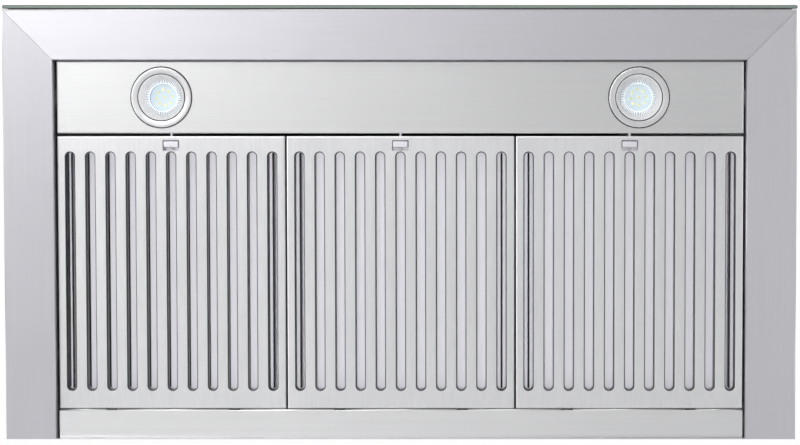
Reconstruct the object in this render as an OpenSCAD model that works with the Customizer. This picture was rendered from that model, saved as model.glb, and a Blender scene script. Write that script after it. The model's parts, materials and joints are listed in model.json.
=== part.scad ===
// Wall-mounted canopy range hood with three baffle filters, two lamps and a telescoping flue cover.
// Millimetres. X runs along the front, -Y faces the cook, +Y is the wall and +Z is up.
// The origin is under the middle of the rim, on the plane of its lip.

/* [Rim] */
// Overall width across the rim
hood_w = 900; // [870:1:980]
// Overall depth from the wall to the front of the glass
hood_d = 494; // [486:1:530]
// Height of the upright rim
rim_h = 50; // [46:1:64]
// Width of the lip that turns in under the rim
lip_w = 57.5; // [50:0.5:60]
// Height of the edge that turns up along the inside of the lip
hem_h = 20; // [16:1:24]
// Width of the flange that turns in at the top of the rim
rim_flange_w = 14; // [10:1:20]
// Thickness of the steel sheet
sheet = 1; // [0.8:0.1:1.2]
// Height of the panels and filters above the lip
recess = 6; // [4:0.5:8]

/* [Canopy and flue cover] */
// Height of the sloped canopy above the rim
canopy_h = 210; // [205:1:240]
// Width of the flue cover
flue_w = 300; // [290:1:330]
// Depth of the flue cover from the wall
flue_d = 265; // [258:1:280]
// Length of the lower flue cover
flue_lower_l = 380; // [340:1:420]
// Length of the upper flue cover
flue_upper_l = 380; // [340:1:420]
// Length of the upper cover that stands out above the lower one at rest
flue_reveal = 110; // [95:1:140]
// Clearance between the two flue covers
flue_clear = 0.5; // [0.4:0.1:0.8]
// Number of vent slots on each side of the upper cover
vent_count = 7; // [4:1:8]
// Width of a vent slot
vent_w = 5; // [4:0.5:7]
// Length of a vent slot
vent_l = 50; // [40:1:60]
// Distance between vent slots
vent_pitch = 16; // [13:0.5:20]

/* [Glass fascia and touch control] */
// Thickness of the glass strip
glass_t = 4; // [3:0.5:5]
// Height of the glass strip
glass_h = 46; // [44:1:46]
// Height of the lower edge of the glass
glass_z = 2; // [1:0.5:3]
// Thickness of the tape that holds the glass
tape_t = 1; // [0.8:0.1:1.5]
// Width of each strip of tape
tape_w = 8; // [6:1:10]
// Width of the window in the steel behind the touch keys
window_w = 170; // [150:1:190]
// Height of that window
window_h = 22; // [16:1:24]
// Depth of the tray that holds the touch board
tray_d = 12; // [10:1:16]
// Thickness of the circuit boards
board_t = 1.6; // [1.2:0.2:2]

/* [Light panel and lamps] */
// Depth of the light panel, front to back
light_d = 82; // [78:1:86]
// Height of the folded edges of the light panel
light_edge_h = 14; // [12:1:16]
// Distance from each end of the light panel to the centre of its lamp
lamp_inset = 119.2; // [100:0.1:140]
// Radius of the flange of a lamp
lamp_flange_r = 34; // [33:0.5:36]
// Radius of the body of a lamp, which is also that of its hole
lamp_body_r = 28; // [27:0.5:29]
// Radius at the mouth of the lamp
lamp_mouth_r = 26.5; // [26:0.1:26.8]
// Radius of the lens
lamp_lens_r = 20.5; // [19:0.5:21.5]
// Radius of the clear disc in the middle of the lens
lamp_clear_r = 15.5; // [14:0.5:16]
// Depth of the lens behind the mouth
lamp_lens_depth = 12; // [10:0.5:13]
// Height of the lamp's heat sink above its board
lamp_sink_h = 22; // [18:1:26]
// Radius of the ring of light chips
chip_ring_r = 9; // [7:0.5:11]
// Number of chips on the ring
chip_count = 8; // [6:1:10]
// Size of one chip
chip_s = 3; // [2:0.2:3.4]

/* [Filters] */
// Gap between neighbouring filters
filter_gap = 1.7; // [1:0.1:2.5]
// Gap between a filter or panel and the lip's upturned edge
side_gap = 2; // [1.5:0.5:4]
// Gap between the light panel and the filters
latch_gap = 2.9; // [2.5:0.1:3.5]
// Thickness of a filter
filter_t = 22; // [20:1:24]
// Thickness of the filter sheet
filter_sheet = 0.8; // [0.6:0.1:1]
// Least plain edge beside the outer slots of a filter
slot_edge = 8; // [6:0.5:8]
// Distance between the centres of the slots
slot_pitch = 23; // [22:0.2:24]
// Width of one slot
slot_w = 9.8; // [9:0.2:10.8]
// Plain face in front of the slots
slot_front = 18.6; // [18.6:0.2:24]
// Plain face behind the slots
slot_rear = 19.8; // [16:0.2:26]
// Height of the collar round each slot
collar_h = 8; // [6:0.5:10]
// Width of one channel of the back sheet
channel_w = 14.7; // [14.6:0.1:17]
// Clearance between the legs of the back sheet and the face
leg_gap = 5; // [3:0.5:7]
// Distance between the two rear tabs of a filter
tab_span = 140.5; // [100:0.5:180]
// Width of one rear tab
tab_w = 11; // [8:0.5:14]
// Reach of a rear tab
tab_l = 5.4; // [5:0.1:6]
// Depth of the strip behind the filters
strip_d = 33.3; // [30:0.1:38]
// Gap between the filters and the strip behind them
rear_gap = 2.1; // [1.8:0.1:2.6]

/* [Latches] */
// Width of the finger tab
finger_w = 18; // [14:1:20]
// Depth of the finger tab, front to back
finger_d = 6.5; // [5:0.5:6.5]
// Travel of the latch
latch_travel = 4; // [3:0.5:4]
// Width of the slider inside its guide
slider_w = 24; // [22:1:28]
// Height of the slider
slider_h = 8; // [7:0.5:9]
// Width of the bolt nose
nose_w = 2.6; // [2:0.2:4]
// Height of the bolt nose
nose_h = 3; // [2:0.5:4]
// Reach of the bolt past the face of the light panel's edge
nose_catch = 2; // [1.5:0.1:2.4]
// Outer radius of the latch spring
spring_r = 2.5; // [2:0.1:2.7]
// Radius of the spring wire
spring_wire_r = 0.35; // [0.3:0.05:0.4]
// Number of turns of the latch spring
spring_turns = 6; // [5:1:7]

/* [Blower] */
// Radius of the impeller
impeller_r = 70; // [66:1:72]
// Width of the impeller
impeller_w = 88; // [80:1:92]
// Number of impeller blades
blade_count = 32; // [24:1:40]
// Inner width of the scroll, which is also that of its outlet
scroll_w = 104; // [100:1:104]
// Radius of the scroll at its tongue
scroll_r0 = 78; // [76:1:80]
// Radius of the scroll where it runs into the outlet
scroll_r1 = 115; // [110:1:116]
// Height of the blower's axis above the lip
blower_z = 158; // [156:1:164]
// Radius of the air inlet
inlet_r = 56; // [50:1:58]
// Radius of the motor shaft
shaft_r = 4; // [3:0.5:5]
// Radius of the motor
motor_r = 45; // [40:1:48]
// Length of the motor
motor_l = 76; // [70:1:84]
// Running clearance between a shaft or pin and its hole
run_clear = 0.05; // [0.02:0.01:0.08]

/* [Outlet] */
// Outer radius of the duct collar
collar_r = 75; // [75:0.5:80]
// Length of the duct collar
collar_l = 60; // [50:1:90]
// Height of the damper pin above the top plate
damper_z = 30; // [24:1:36]
// Radius of the damper pin
pin_r = 2; // [1.5:0.1:2.5]
// Outer radius of the damper knuckles
knuckle_r = 3.5; // [3.2:0.1:4]

/* [Electrics and fasteners] */
// Width of the control box
box_w = 150; // [130:1:160]
// Depth of the control box
box_d = 50; // [40:1:55]
// Height of the control box
box_h = 60; // [50:1:64]
// Wall of the control box
box_wall = 2; // [1.5:0.5:3]
// Length of the lamp driver
driver_l = 120; // [100:1:140]
// Radius of the bore of the cable gland
gland_r = 5; // [4:0.5:6]
// Radius of the wall fixing holes in the back panel and the flue bracket
fix_r = 4; // [3:0.5:5]
// Distance between the wall fixing holes in the back panel
fix_span = 420; // [380:1:450]
// Height of those holes above the rim
fix_h = 60; // [50:1:80]
// Distance between the wall holes of the flue bracket
bracket_span = 180; // [120:1:220]
// Distance of the cable gland from the middle of the back panel
gland_x = 160; // [120:1:180]
// Height of the cable gland above the lip
gland_z = 80; // [70:1:90]
// Length of the cable gland's body inside the back panel
gland_l = 12; // [8:1:16]
// Height of the control box above the lip
box_z = 110; // [100:1:120]
// Radius of the screw shanks
screw_r = 2; // [1.5:0.1:2.5]
// Radius of the screw heads
head_r = 4; // [3.5:0.1:4.5]

/* [Hidden] */
$fn = 48;

// Overshoot of a cutter past the face that it opens
cut = 0.5;
// Gap between a seated piece and a piece that moves past it
seat_gap = 0.3;

// Colours
steel = [0.78, 0.78, 0.80];
bright_steel = [0.84, 0.84, 0.88];
glass_green = [0.62, 0.76, 0.70, 0.6];
black_plastic = [0.12, 0.12, 0.13];
grey_plastic = [0.55, 0.56, 0.58];
board_green = [0.10, 0.35, 0.20];
zinc = [0.66, 0.68, 0.70];
lens_clear = [0.85, 0.90, 0.96, 0.5];

// Planes across the depth, from the front to the wall
y_glass = -hood_d / 2;
y_steel = y_glass + glass_t + tape_t;
y_lip = y_steel + lip_w;
front_gap = 0.8;
y_light0 = y_lip + front_gap;
y_light1 = y_light0 + light_d;
y_filter0 = y_light1 + latch_gap;
y_wall = hood_d / 2;
y_back = y_wall - sheet;
y_strip0 = y_wall - strip_d;
y_filter1 = y_strip0 - rear_gap;

// Planes across the width
x_out = hood_w / 2;
x_lip = x_out - lip_w;
x_in = x_lip - side_gap;
filter_w = (2 * x_in - 2 * filter_gap) / 3;
filter_step = filter_w + filter_gap;
filter_l = y_filter1 - y_filter0;
slot_l = filter_l - slot_front - slot_rear;
slot_count = floor((filter_w - 2 * slot_edge - slot_w) / slot_pitch) + 1;

// Levels
z_face = recess + filter_sheet;
z_back_sheet = recess + filter_t - 2 * filter_sheet;
z_canopy = rim_h + canopy_h;
z_plate = z_canopy + sheet;
z_lower_top = z_plate + flue_lower_l;
z_upper_top = z_lower_top + flue_reveal;
z_upper = z_upper_top - flue_upper_l;

// Flue cover outline
y_flue = y_wall - flue_d;
y_duct = (y_flue + y_wall) / 2;
upper_w = flue_w - 2 * sheet - 2 * flue_clear;
y_upper = y_flue + sheet + flue_clear;
y_upper_back = y_wall - flue_clear;

// Slopes of the canopy, and how far a sheet reaches across each slope
side_run = x_out - flue_w / 2;
front_run = y_flue - y_steel;
side_skin = sheet * sqrt(side_run * side_run + canopy_h * canopy_h) / canopy_h;
front_skin = sheet * sqrt(front_run * front_run + canopy_h * canopy_h) / canopy_h;

// Touch tray
tray_wall = 2;
tray_side = 10;
tray_edge = 4;
tray_w = window_w + 2 * tray_side;
tray_h = window_h + 2 * tray_edge;
z_window = rim_h / 2;

// Lamps
lamp_x = x_in - lamp_inset;
lamp_y = (y_light0 + y_light1) / 2;
lamp_flange_t = 2;
bezel_wall = 1;
lens_t = 2;
lens_boss_h = 0.6;
z_lens = recess + lamp_lens_depth - lens_t;
z_bezel_top = z_lens + 2 * lens_t;
z_lamp_board = z_bezel_top + chip_s / 2;
z_sink = z_lamp_board + board_t;
fin_count = 5;
clip_w = 12;
clip_t = 0.8;
clip_turn = 45;

// Latches
pan_wall = filter_sheet;
finger_clear = 0.6;
finger_edge = 5.6;
z_slider = z_face + seat_gap;
y_finger = y_filter0 + finger_edge + finger_clear;
slider_room = 1;
y_slider0 = y_filter0 + pan_wall + slider_room;
y_slider1 = y_finger + finger_d;
guide_room = 0.1;
y_guide1 = y_slider1 + latch_travel + guide_room;
finger_drop = 1;
z_nose = z_slider + (slider_h - nose_h) / 2;
nose_clear = 0.35;
spring_pocket = 8;
spring_clear = 0.2;
z_spring = z_slider + slider_h / 2;
spring_l = y_guide1 - (y_slider1 - spring_pocket) - 2 * spring_clear;

// Blower
tongue_angle = 82;
scroll_steps = 36;
tongue_u = scroll_r0 * cos(tongue_angle);
tongue_v = scroll_r0 * sin(tongue_angle);
blower_y = y_duct - (tongue_u + scroll_r1) / 2;
outlet_v = z_canopy - blower_z;
blade_t = 1;
blade_d = 12;
hub_r = 12;
motor_gap = 1;
x_motor_plate = -scroll_w / 2 - sheet;
x_impeller = -impeller_w / 2;
outlet_flange_w = 10;
bell_h = 8;

// Outlet
collar_t = 1;
collar_flange_w = 16;
collar_flange_t = 2;
z_pin = z_plate + damper_z;
flap_t = 1;
flap_clear = 1.2;
flap_r = collar_r - collar_t - flap_clear;

// Wiring and fasteners
wire_r = 2;
gland_wall = 3;
screw_head_h = 2.2;
flue_screw_l = 5;
flue_screw_h = 8;

// Screw places on the top plate, clear of the duct collar
plate_screw_x = (scroll_w + outlet_flange_w) / 2;
plate_screw_y = (scroll_r1 - tongue_u + outlet_flange_w) / 2;

// Basic shapes

// A block between two corners
module block(low, high) {
    translate(low)
        cube(high - low);
}

// A slot with round ends, along Y from 0 to l and centred on X
module slot_bar(w, l, h) {
    translate([-w / 2, w / 2, 0])
        cube([w, l - w, h]);
    for (y = [w / 2, l - w / 2])
        translate([0, y, 0])
            cylinder(r = w / 2, h = h);
}

// A cylinder along X from x = 0
module rod_x(r, l) {
    rotate([0, 90, 0])
        cylinder(r = r, h = l);
}

// A cylinder along Y from y = 0
module rod_y(r, l) {
    rotate([-90, 0, 0])
        cylinder(r = r, h = l);
}

// Rim

module front_panel() {
    color(steel) {
        difference() {
            block([-x_out + sheet, y_steel, 0], [x_out - sheet, y_steel + sheet, rim_h]);
            block(
                [-window_w / 2, y_steel - cut, z_window - window_h / 2],
                [window_w / 2, y_steel + sheet + cut, z_window + window_h / 2]
            );
        }
        linear_extrude(height = sheet)
            polygon([
                [-x_out + sheet, y_steel], [x_out - sheet, y_steel], [x_out - sheet, y_steel + sheet],
                [x_lip, y_lip], [-x_lip, y_lip], [-x_out + sheet, y_steel + sheet]
            ]);
        block([-x_lip, y_lip - sheet, 0], [x_lip, y_lip, hem_h]);
        block(
            [-x_out + rim_flange_w, y_steel, rim_h - sheet],
            [x_out - rim_flange_w, y_steel + rim_flange_w, rim_h]
        );
    }
}

// One side of the rim; side is -1 on the left and 1 on the right
module side_panel(side) {
    color(steel)
        mirror([side < 0 ? 1 : 0, 0, 0]) {
            block([x_out - sheet, y_steel, 0], [x_out, y_back, rim_h]);
            linear_extrude(height = sheet)
                polygon([
                    [x_out - sheet, y_steel + sheet], [x_out, y_steel + sheet],
                    [x_out, y_back], [x_lip, y_back], [x_lip, y_lip]
                ]);
            block([x_lip, y_lip, 0], [x_lip + sheet, y_back, hem_h]);
            block(
                [x_out - rim_flange_w, y_steel + sheet, rim_h - sheet],
                [x_out, y_back, rim_h]
            );
        }
}

// Canopy

// The solid inside the canopy's slopes, drawn in by the given skins
module canopy_form(side_in, front_in, over) {
    side_slope = side_run / canopy_h;
    front_slope = front_run / canopy_h;
    intersection() {
        translate([0, y_back, 0])
            rotate([90, 0, 0])
                linear_extrude(height = y_back - y_steel + cut)
                    polygon([
                        [-x_out + side_in - side_slope * over, rim_h - over],
                        [x_out - side_in + side_slope * over, rim_h - over],
                        [flue_w / 2 - side_in - side_slope * over, z_canopy + over],
                        [-flue_w / 2 + side_in + side_slope * over, z_canopy + over]
                    ]);
        translate([-x_out - cut, 0, 0])
            rotate([90, 0, 90])
                linear_extrude(height = hood_w + 2 * cut)
                    polygon([
                        [y_steel + front_in - front_slope * over, rim_h - over],
                        [y_back + cut, rim_h - over],
                        [y_back + cut, z_canopy + over],
                        [y_flue + front_in + front_slope * over, z_canopy + over]
                    ]);
    }
}

module canopy_shell() {
    color(steel)
        difference() {
            canopy_form(0, 0, 0);
            translate([0, cut, 0])
                canopy_form(side_skin, front_skin - cut, cut);
        }
}

module back_panel() {
    color(steel)
        difference() {
            translate([0, y_wall, 0])
                rotate([90, 0, 0])
                    linear_extrude(height = sheet)
                        polygon([
                            [-x_out, 0], [x_out, 0], [x_out, rim_h],
                            [flue_w / 2, z_canopy], [-flue_w / 2, z_canopy], [-x_out, rim_h]
                        ]);
            for (side = [-1, 1])
                translate([side * fix_span / 2, y_back - cut, rim_h + fix_h])
                    rod_y(fix_r, sheet + 2 * cut);
            translate([gland_x, y_back - cut, gland_z])
                rod_y(gland_r + gland_wall, sheet + 2 * cut);
        }
}

// Plate that closes the canopy and carries the blower, the collar and the flue cover
module top_plate() {
    tab_h = 16;
    tab_d = 40;
    color(zinc)
        difference() {
            union() {
                block([-flue_w / 2, y_flue, z_canopy], [flue_w / 2, y_wall, z_plate]);
                for (side = [-1, 1])
                    block(
                        [side * (flue_w / 2 - 1.5 * sheet) - sheet / 2, y_duct - tab_d / 2, z_canopy],
                        [side * (flue_w / 2 - 1.5 * sheet) + sheet / 2, y_duct + tab_d / 2,
                            z_plate + tab_h]
                    );
            }
            translate([0, y_duct, z_canopy - cut])
                cylinder(r = collar_r - collar_t, h = sheet + 2 * cut);
            plate_screw_places()
                translate([0, 0, -cut])
                    cylinder(r = screw_r, h = sheet + 2 * cut);
            flue_screw_places()
                translate([-flue_screw_l, 0, 0])
                    rod_x(screw_r, flue_screw_l + cut);
        }
}

// Puts its children at each screw through the top plate, on the underside of the plate
module plate_screw_places() {
    for (sx = [-1, 1])
        for (sy = [-1, 1])
            translate([sx * plate_screw_x, y_duct + sy * plate_screw_y, z_canopy])
                children();
}

// Puts its children at each screw in the side of the lower flue cover, pointing out along +X
module flue_screw_places() {
    for (side = [0, 1])
        mirror([side, 0, 0])
            translate([flue_w / 2, y_duct, z_plate + flue_screw_h])
                children();
}

// Glass and touch control

module glass_fascia() {
    color(glass_green)
        block([-x_out, y_glass, glass_z], [x_out, y_glass + glass_t, glass_z + glass_h]);
}

module fascia_tape() {
    edge = 3;
    color(black_plastic)
        for (z = [glass_z + edge, glass_z + glass_h - edge - tape_w])
            block([-x_out + 2 * edge, y_glass + glass_t, z], [x_out - 2 * edge, y_steel, z + tape_w]);
}

module touch_tray() {
    y0 = y_steel + sheet;
    color(black_plastic)
        difference() {
            block(
                [-tray_w / 2, y0, z_window - tray_h / 2],
                [tray_w / 2, y0 + tray_d, z_window + tray_h / 2]
            );
            block(
                [-window_w / 2, y0 - cut, z_window - window_h / 2],
                [window_w / 2, y0 + tray_d - tray_wall, z_window + window_h / 2]
            );
        }
}

// Circuit board with its touch pads, at the bottom of the tray
module touch_board() {
    key_count = 5;
    key_pitch = window_w / key_count;
    y0 = y_steel + sheet + tray_d - tray_wall;
    pad_h = 3;
    color(board_green) {
        block(
            [-window_w / 2, y0 - board_t, z_window - window_h / 2],
            [window_w / 2, y0, z_window + window_h / 2]
        );
        for (i = [0:key_count - 1])
            translate([(i - (key_count - 1) / 2) * key_pitch, y0 - board_t - pad_h, z_window])
                rod_y(window_h / 3, pad_h + board_t / 2);
    }
}

// Panels in the opening

module light_panel() {
    z1 = recess + light_edge_h;
    ear_l = 18;
    color(steel)
        difference() {
            union() {
                difference() {
                    block([-x_in, y_light0, recess], [x_in, y_light1, z1]);
                    block(
                        [-x_in + sheet, y_light0 + sheet, recess + sheet],
                        [x_in - sheet, y_light1 - sheet, z1 + cut]
                    );
                }
                for (side = [-1, 1])
                    block(
                        [side > 0 ? x_in - sheet : -x_lip, lamp_y - ear_l / 2, z1 - sheet],
                        [side > 0 ? x_lip : -x_in + sheet, lamp_y + ear_l / 2, z1]
                    );
            }
            for (side = [-1, 1])
                translate([side * lamp_x, lamp_y, recess - cut])
                    cylinder(r = lamp_body_r, h = sheet + 2 * cut);
            for (i = [-1:1])
                translate([i * filter_step, 0, 0])
                    block(
                        [-nose_w / 2 - nose_clear, y_light1 - nose_catch - nose_clear, recess - cut],
                        [nose_w / 2 + nose_clear, y_light1 + cut, z_nose + nose_h + nose_clear]
                    );
        }
}

// Strip behind the filters, with a slot for each rear tab
module back_strip() {
    strip_edge_h = 20;
    tab_room = 0.8;
    swing_room = 1.5;
    sweep = tab_l + swing_room;
    color(steel)
        difference() {
            union() {
                block([-x_in, y_strip0, recess], [x_in, y_back, recess + sheet]);
                block([-x_in, y_strip0, recess], [x_in, y_strip0 + sheet, recess + strip_edge_h]);
                block([-x_in, y_back - sheet, recess], [x_in, y_back, recess + strip_edge_h]);
                for (side = [-1, 1])
                    block(
                        [side > 0 ? x_in - sheet : -x_lip, y_strip0, recess + strip_edge_h - sheet],
                        [side > 0 ? x_lip : -x_in + sheet, y_back, recess + strip_edge_h]
                    );
            }
            for (i = [-1:1])
                for (side = [-1, 1])
                    translate([i * filter_step + side * tab_span / 2, 0, 0])
                        block(
                            [-tab_w / 2 - tab_room, y_strip0 - cut, recess + sheet],
                            [tab_w / 2 + tab_room, y_strip0 + sheet + cut, recess + sweep]
                        );
            for (i = [-1:1])
                for (side = [-1, 1])
                    translate([i * filter_step + side * tab_span / 2, 0, 0])
                        block(
                            [-tab_w / 2 - tab_room, y_strip0 - cut, recess - cut],
                            [tab_w / 2 + tab_room, y_strip0 + sheet, recess + sheet + cut]
                        );
        }
}

module lamp_driver() {
    driver_d = 34;
    driver_h = 22;
    hole_in = 3;
    hole_z = recess + sheet + 6;
    color(grey_plastic)
        difference() {
            translate([-driver_l / 2, lamp_y - driver_d / 2, recess + sheet])
                cube([driver_l, driver_d, driver_h]);
            for (side = [-1, 1])
                translate([side * (driver_l / 2 - hole_in), lamp_y - driver_d / 2 - cut, hole_z])
                    rotate([-90, 0, 0])
                        cylinder(r = screw_r, h = driver_d + 2 * cut);
        }
}

// Two leads along the top of the light panel, from the driver to the lamps
module lamp_wiring() {
    lead_l = lamp_x - lamp_body_r - driver_l / 2;
    color(black_plastic)
        for (side = [0, 1])
            mirror([side, 0, 0])
                translate([driver_l / 2, lamp_y, recess + sheet + wire_r])
                    rod_x(wire_r, lead_l);
}

// Lamps; side is -1 on the left and 1 on the right

module at_lamp(side) {
    translate([side * lamp_x, lamp_y, 0])
        children();
}

// Flange, funnel and tube in one turned piece
module lamp_bezel(side) {
    edge = 0.6;
    ledge_w = 0.5;
    ledge_h = 0.8;
    color(bright_steel)
        at_lamp(side)
            rotate_extrude()
                polygon([
                    [lamp_mouth_r, recess - lamp_flange_t],
                    [lamp_flange_r - edge, recess - lamp_flange_t],
                    [lamp_flange_r, recess - lamp_flange_t + edge],
                    [lamp_flange_r, recess],
                    [lamp_body_r, recess],
                    [lamp_body_r, z_bezel_top],
                    [lamp_body_r - bezel_wall, z_bezel_top],
                    [lamp_body_r - bezel_wall, z_lens],
                    [lamp_lens_r - ledge_w, z_lens],
                    [lamp_lens_r - ledge_w, z_lens - ledge_h]
                ]);
}

// Ribbed rim and clear middle of the lens
module lamp_lens(side) {
    color(lens_clear)
        at_lamp(side) {
            translate([0, 0, z_lens])
                cylinder(r = lamp_body_r - bezel_wall, h = lens_t);
            translate([0, 0, z_lens - lens_boss_h])
                cylinder(r = lamp_clear_r, h = lens_boss_h + lens_t / 2);
        }
}

// Round board with a ring of light chips and one in the middle, facing down
module lamp_board(side) {
    chip_h = 0.8;
    board_room = 3;
    color(bright_steel)
        at_lamp(side) {
            translate([0, 0, z_lamp_board])
                cylinder(r = lamp_body_r - board_room, h = board_t);
            for (i = [0:chip_count - 1])
                rotate([0, 0, i * 360 / chip_count])
                    translate([chip_ring_r - chip_s / 2, -chip_s / 2, z_lamp_board - chip_h])
                        cube([chip_s, chip_s, chip_h + board_t / 2]);
            translate([-chip_s / 2, -chip_s / 2, z_lamp_board - chip_h])
                cube([chip_s, chip_s, chip_h + board_t / 2]);
        }
}

// Aluminium heat sink that closes the lamp from above
module lamp_sink(side) {
    base_h = 4;
    skirt_t = 2;
    fin_pitch = 2 * lamp_body_r / fin_count;
    color(zinc)
        at_lamp(side)
            difference() {
                translate([0, 0, z_bezel_top])
                    cylinder(r = lamp_body_r, h = z_sink - z_bezel_top + lamp_sink_h);
                translate([0, 0, z_bezel_top - cut])
                    cylinder(r = lamp_body_r - skirt_t, h = z_sink - z_bezel_top + cut);
                for (i = [0:fin_count - 1])
                    translate([(i - (fin_count - 1) / 2) * fin_pitch - fin_pitch / 4, 0, z_sink + base_h])
                        translate([0, -lamp_body_r - cut, 0])
                            cube([fin_pitch / 2, 2 * lamp_body_r + 2 * cut, lamp_sink_h]);
            }
}

// Two leaf springs that pull the flange up against the panel
module lamp_clips(side) {
    foot_l = 14;
    over = 3;
    clip_top = z_sink + over;
    color(bright_steel)
        at_lamp(side)
            for (a = [clip_turn, clip_turn + 180])
                rotate([0, 0, a]) {
                    block([lamp_body_r, -clip_w / 2, recess + sheet],
                        [lamp_body_r + clip_t, clip_w / 2, clip_top]);
                    block([lamp_body_r, -clip_w / 2, recess + sheet],
                        [lamp_body_r + foot_l, clip_w / 2, recess + sheet + clip_t]);
                }
}

// Filters; i is -1, 0 or 1 from left to right

module at_filter(i) {
    translate([i * filter_step, 0, 0])
        children();
}

function slot_x(k) = (k - (slot_count - 1) / 2) * slot_pitch;

// Pan with the slotted face, the collars round its slots and the two rear tabs
module filter_face(i) {
    z1 = recess + filter_t;
    hw = filter_w / 2;
    y_slot = y_filter0 + slot_front;
    tab_z = recess + sheet + seat_gap;
    color(steel)
        at_filter(i)
            difference() {
                union() {
                    difference() {
                        block([-hw, y_filter0, recess], [hw, y_filter1, z1]);
                        block(
                            [-hw + pan_wall, y_filter0 + pan_wall, z_face],
                            [hw - pan_wall, y_filter1 - pan_wall, z1 + cut]
                        );
                    }
                    for (k = [0:slot_count - 1])
                        translate([slot_x(k), y_slot - filter_sheet, recess])
                            slot_bar(slot_w + 2 * filter_sheet, slot_l + 2 * filter_sheet,
                                filter_sheet + collar_h);
                    for (side = [-1, 1])
                        translate([side * tab_span / 2, 0, 0])
                            block([-tab_w / 2, y_filter1 - pan_wall, tab_z],
                                [tab_w / 2, y_filter1 + tab_l, tab_z + sheet]);
                }
                for (k = [0:slot_count - 1])
                    translate([slot_x(k), y_slot, recess - cut])
                        slot_bar(slot_w, slot_l, filter_sheet + collar_h + 2 * cut);
                block(
                    [-finger_w / 2 - finger_clear, y_finger - finger_clear, recess - cut],
                    [finger_w / 2 + finger_clear, y_guide1 + guide_room, z_face + cut]
                );
                block(
                    [-nose_w / 2 - nose_clear, y_filter0 - cut, z_nose - nose_clear],
                    [nose_w / 2 + nose_clear, y_filter0 + pan_wall + cut, z_nose + nose_h + nose_clear]
                );
            }
}

// Back sheet folded into channels that cover the slots of the face
module filter_back(i) {
    hw = filter_w / 2 - pan_wall;
    y0 = y_filter0 + pan_wall;
    y1 = y_filter1 - pan_wall;
    y_slot = y_filter0 + slot_front;
    gap_w = slot_pitch - channel_w;
    z_leg = z_face + leg_gap;
    lip_t = 1.2;
    color(bright_steel)
        at_filter(i)
            difference() {
                union() {
                    block([-hw, y0, z_back_sheet], [hw, y1, z_back_sheet + filter_sheet]);
                    for (k = [0:slot_count - 2])
                        translate([(slot_x(k) + slot_x(k + 1)) / 2, y_slot, 0])
                            block([-gap_w / 2 - filter_sheet, 0, z_leg],
                                [gap_w / 2 + filter_sheet, slot_l, z_back_sheet + filter_sheet / 2]);
                    for (k = [0, slot_count - 1])
                        translate([slot_x(k), y_slot, 0])
                            block([-lip_t / 2, lip_t, recess + collar_h],
                                [lip_t / 2, slot_l - lip_t, z_back_sheet + filter_sheet / 2]);
                }
                for (k = [0:slot_count - 2])
                    translate([(slot_x(k) + slot_x(k + 1)) / 2, y_slot, 0])
                        block([-gap_w / 2, -cut, z_leg - cut],
                            [gap_w / 2, slot_l + cut, z_back_sheet + filter_sheet + cut]);
            }
}

// Sliding bolt with its nose, its finger tab and a pocket for the spring
module latch(i) {
    color(bright_steel)
        at_filter(i)
            difference() {
                union() {
                    block([-slider_w / 2, y_slider0, z_slider],
                        [slider_w / 2, y_slider1, z_slider + slider_h]);
                    block([-finger_w / 2, y_finger, recess - finger_drop],
                        [finger_w / 2, y_slider1, z_slider + slider_h / 2]);
                    block([-nose_w / 2, y_light1 - nose_catch, z_nose],
                        [nose_w / 2, y_slider0 + slider_h / 2, z_nose + nose_h]);
                }
                translate([0, y_slider1 - spring_pocket, z_spring])
                    rod_y(spring_r + spring_clear, spring_pocket + cut);
            }
}

// Bridge over the slider, welded to the inside of the face
module latch_guide(i) {
    inner = slider_w / 2 + seat_gap;
    top = z_slider + slider_h + seat_gap;
    foot_w = 8;
    color(zinc)
        at_filter(i) {
            difference() {
                block([-inner - filter_sheet, y_slider0, z_face],
                    [inner + filter_sheet, y_guide1 + filter_sheet, top + filter_sheet]);
                block([-inner, y_slider0 - cut, z_face - cut], [inner, y_guide1, top]);
            }
            for (side = [-1, 1])
                translate([side * (inner + filter_sheet / 2 + foot_w / 2), 0, 0])
                    block([-foot_w / 2, y_slider0, z_face],
                        [foot_w / 2, y_guide1 + filter_sheet, z_face + filter_sheet]);
        }
}

// Ring of points of the latch spring's wire at turn t of its helix
function wire_ring(t, turns, r, wire, l, sides) =
    [for (s = [0:sides - 1])
        let (a = 360 * t, b = 360 * s / sides, rr = r + wire * cos(b))
        [rr * cos(a), wire + (l - 2 * wire) * t / turns + wire * sin(b), rr * sin(a)]];

// Helical spring from the bottom of the latch's pocket to the guide
module latch_spring(i) {
    sides = 6;
    per_turn = 8;
    rings = spring_turns * per_turn;
    mean_r = spring_r - spring_wire_r;
    points = [for (j = [0:rings])
        each wire_ring(j / per_turn, spring_turns, mean_r, spring_wire_r, spring_l, sides)];
    walls = [for (j = [0:rings - 1]) for (s = [0:sides - 1])
        let (a = j * sides + s, b = j * sides + (s + 1) % sides)
        each [[a, b, a + sides], [b, b + sides, a + sides]]];
    caps = [[for (s = [sides - 1:-1:0]) s], [for (s = [0:sides - 1]) rings * sides + s]];
    color(zinc)
        at_filter(i)
            translate([0, y_slider1 - spring_pocket + spring_clear, z_spring])
                polyhedron(points = points, faces = concat(walls, caps));
}

// Blower, drawn in a plane with u along Y and v along Z and pushed out along X

// Outline of the scroll, drawn in by the thickness t
function scroll_points(t) = concat(
    [for (k = [0:scroll_steps])
        let (a = tongue_angle + (360 - tongue_angle) * k / scroll_steps,
            r = scroll_r0 + (scroll_r1 - scroll_r0) * k / scroll_steps - t)
        [r * cos(a), r * sin(a)]],
    [[scroll_r1 - t, outlet_v], [tongue_u + t, outlet_v], [tongue_u + t, tongue_v]]
);

// Places a plane drawing at the blower's axis and pushes it out along +X from x0
module blower_plane(x0, thick) {
    translate([x0, blower_y, blower_z])
        rotate([90, 0, 90])
            linear_extrude(height = thick)
                children();
}

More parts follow.
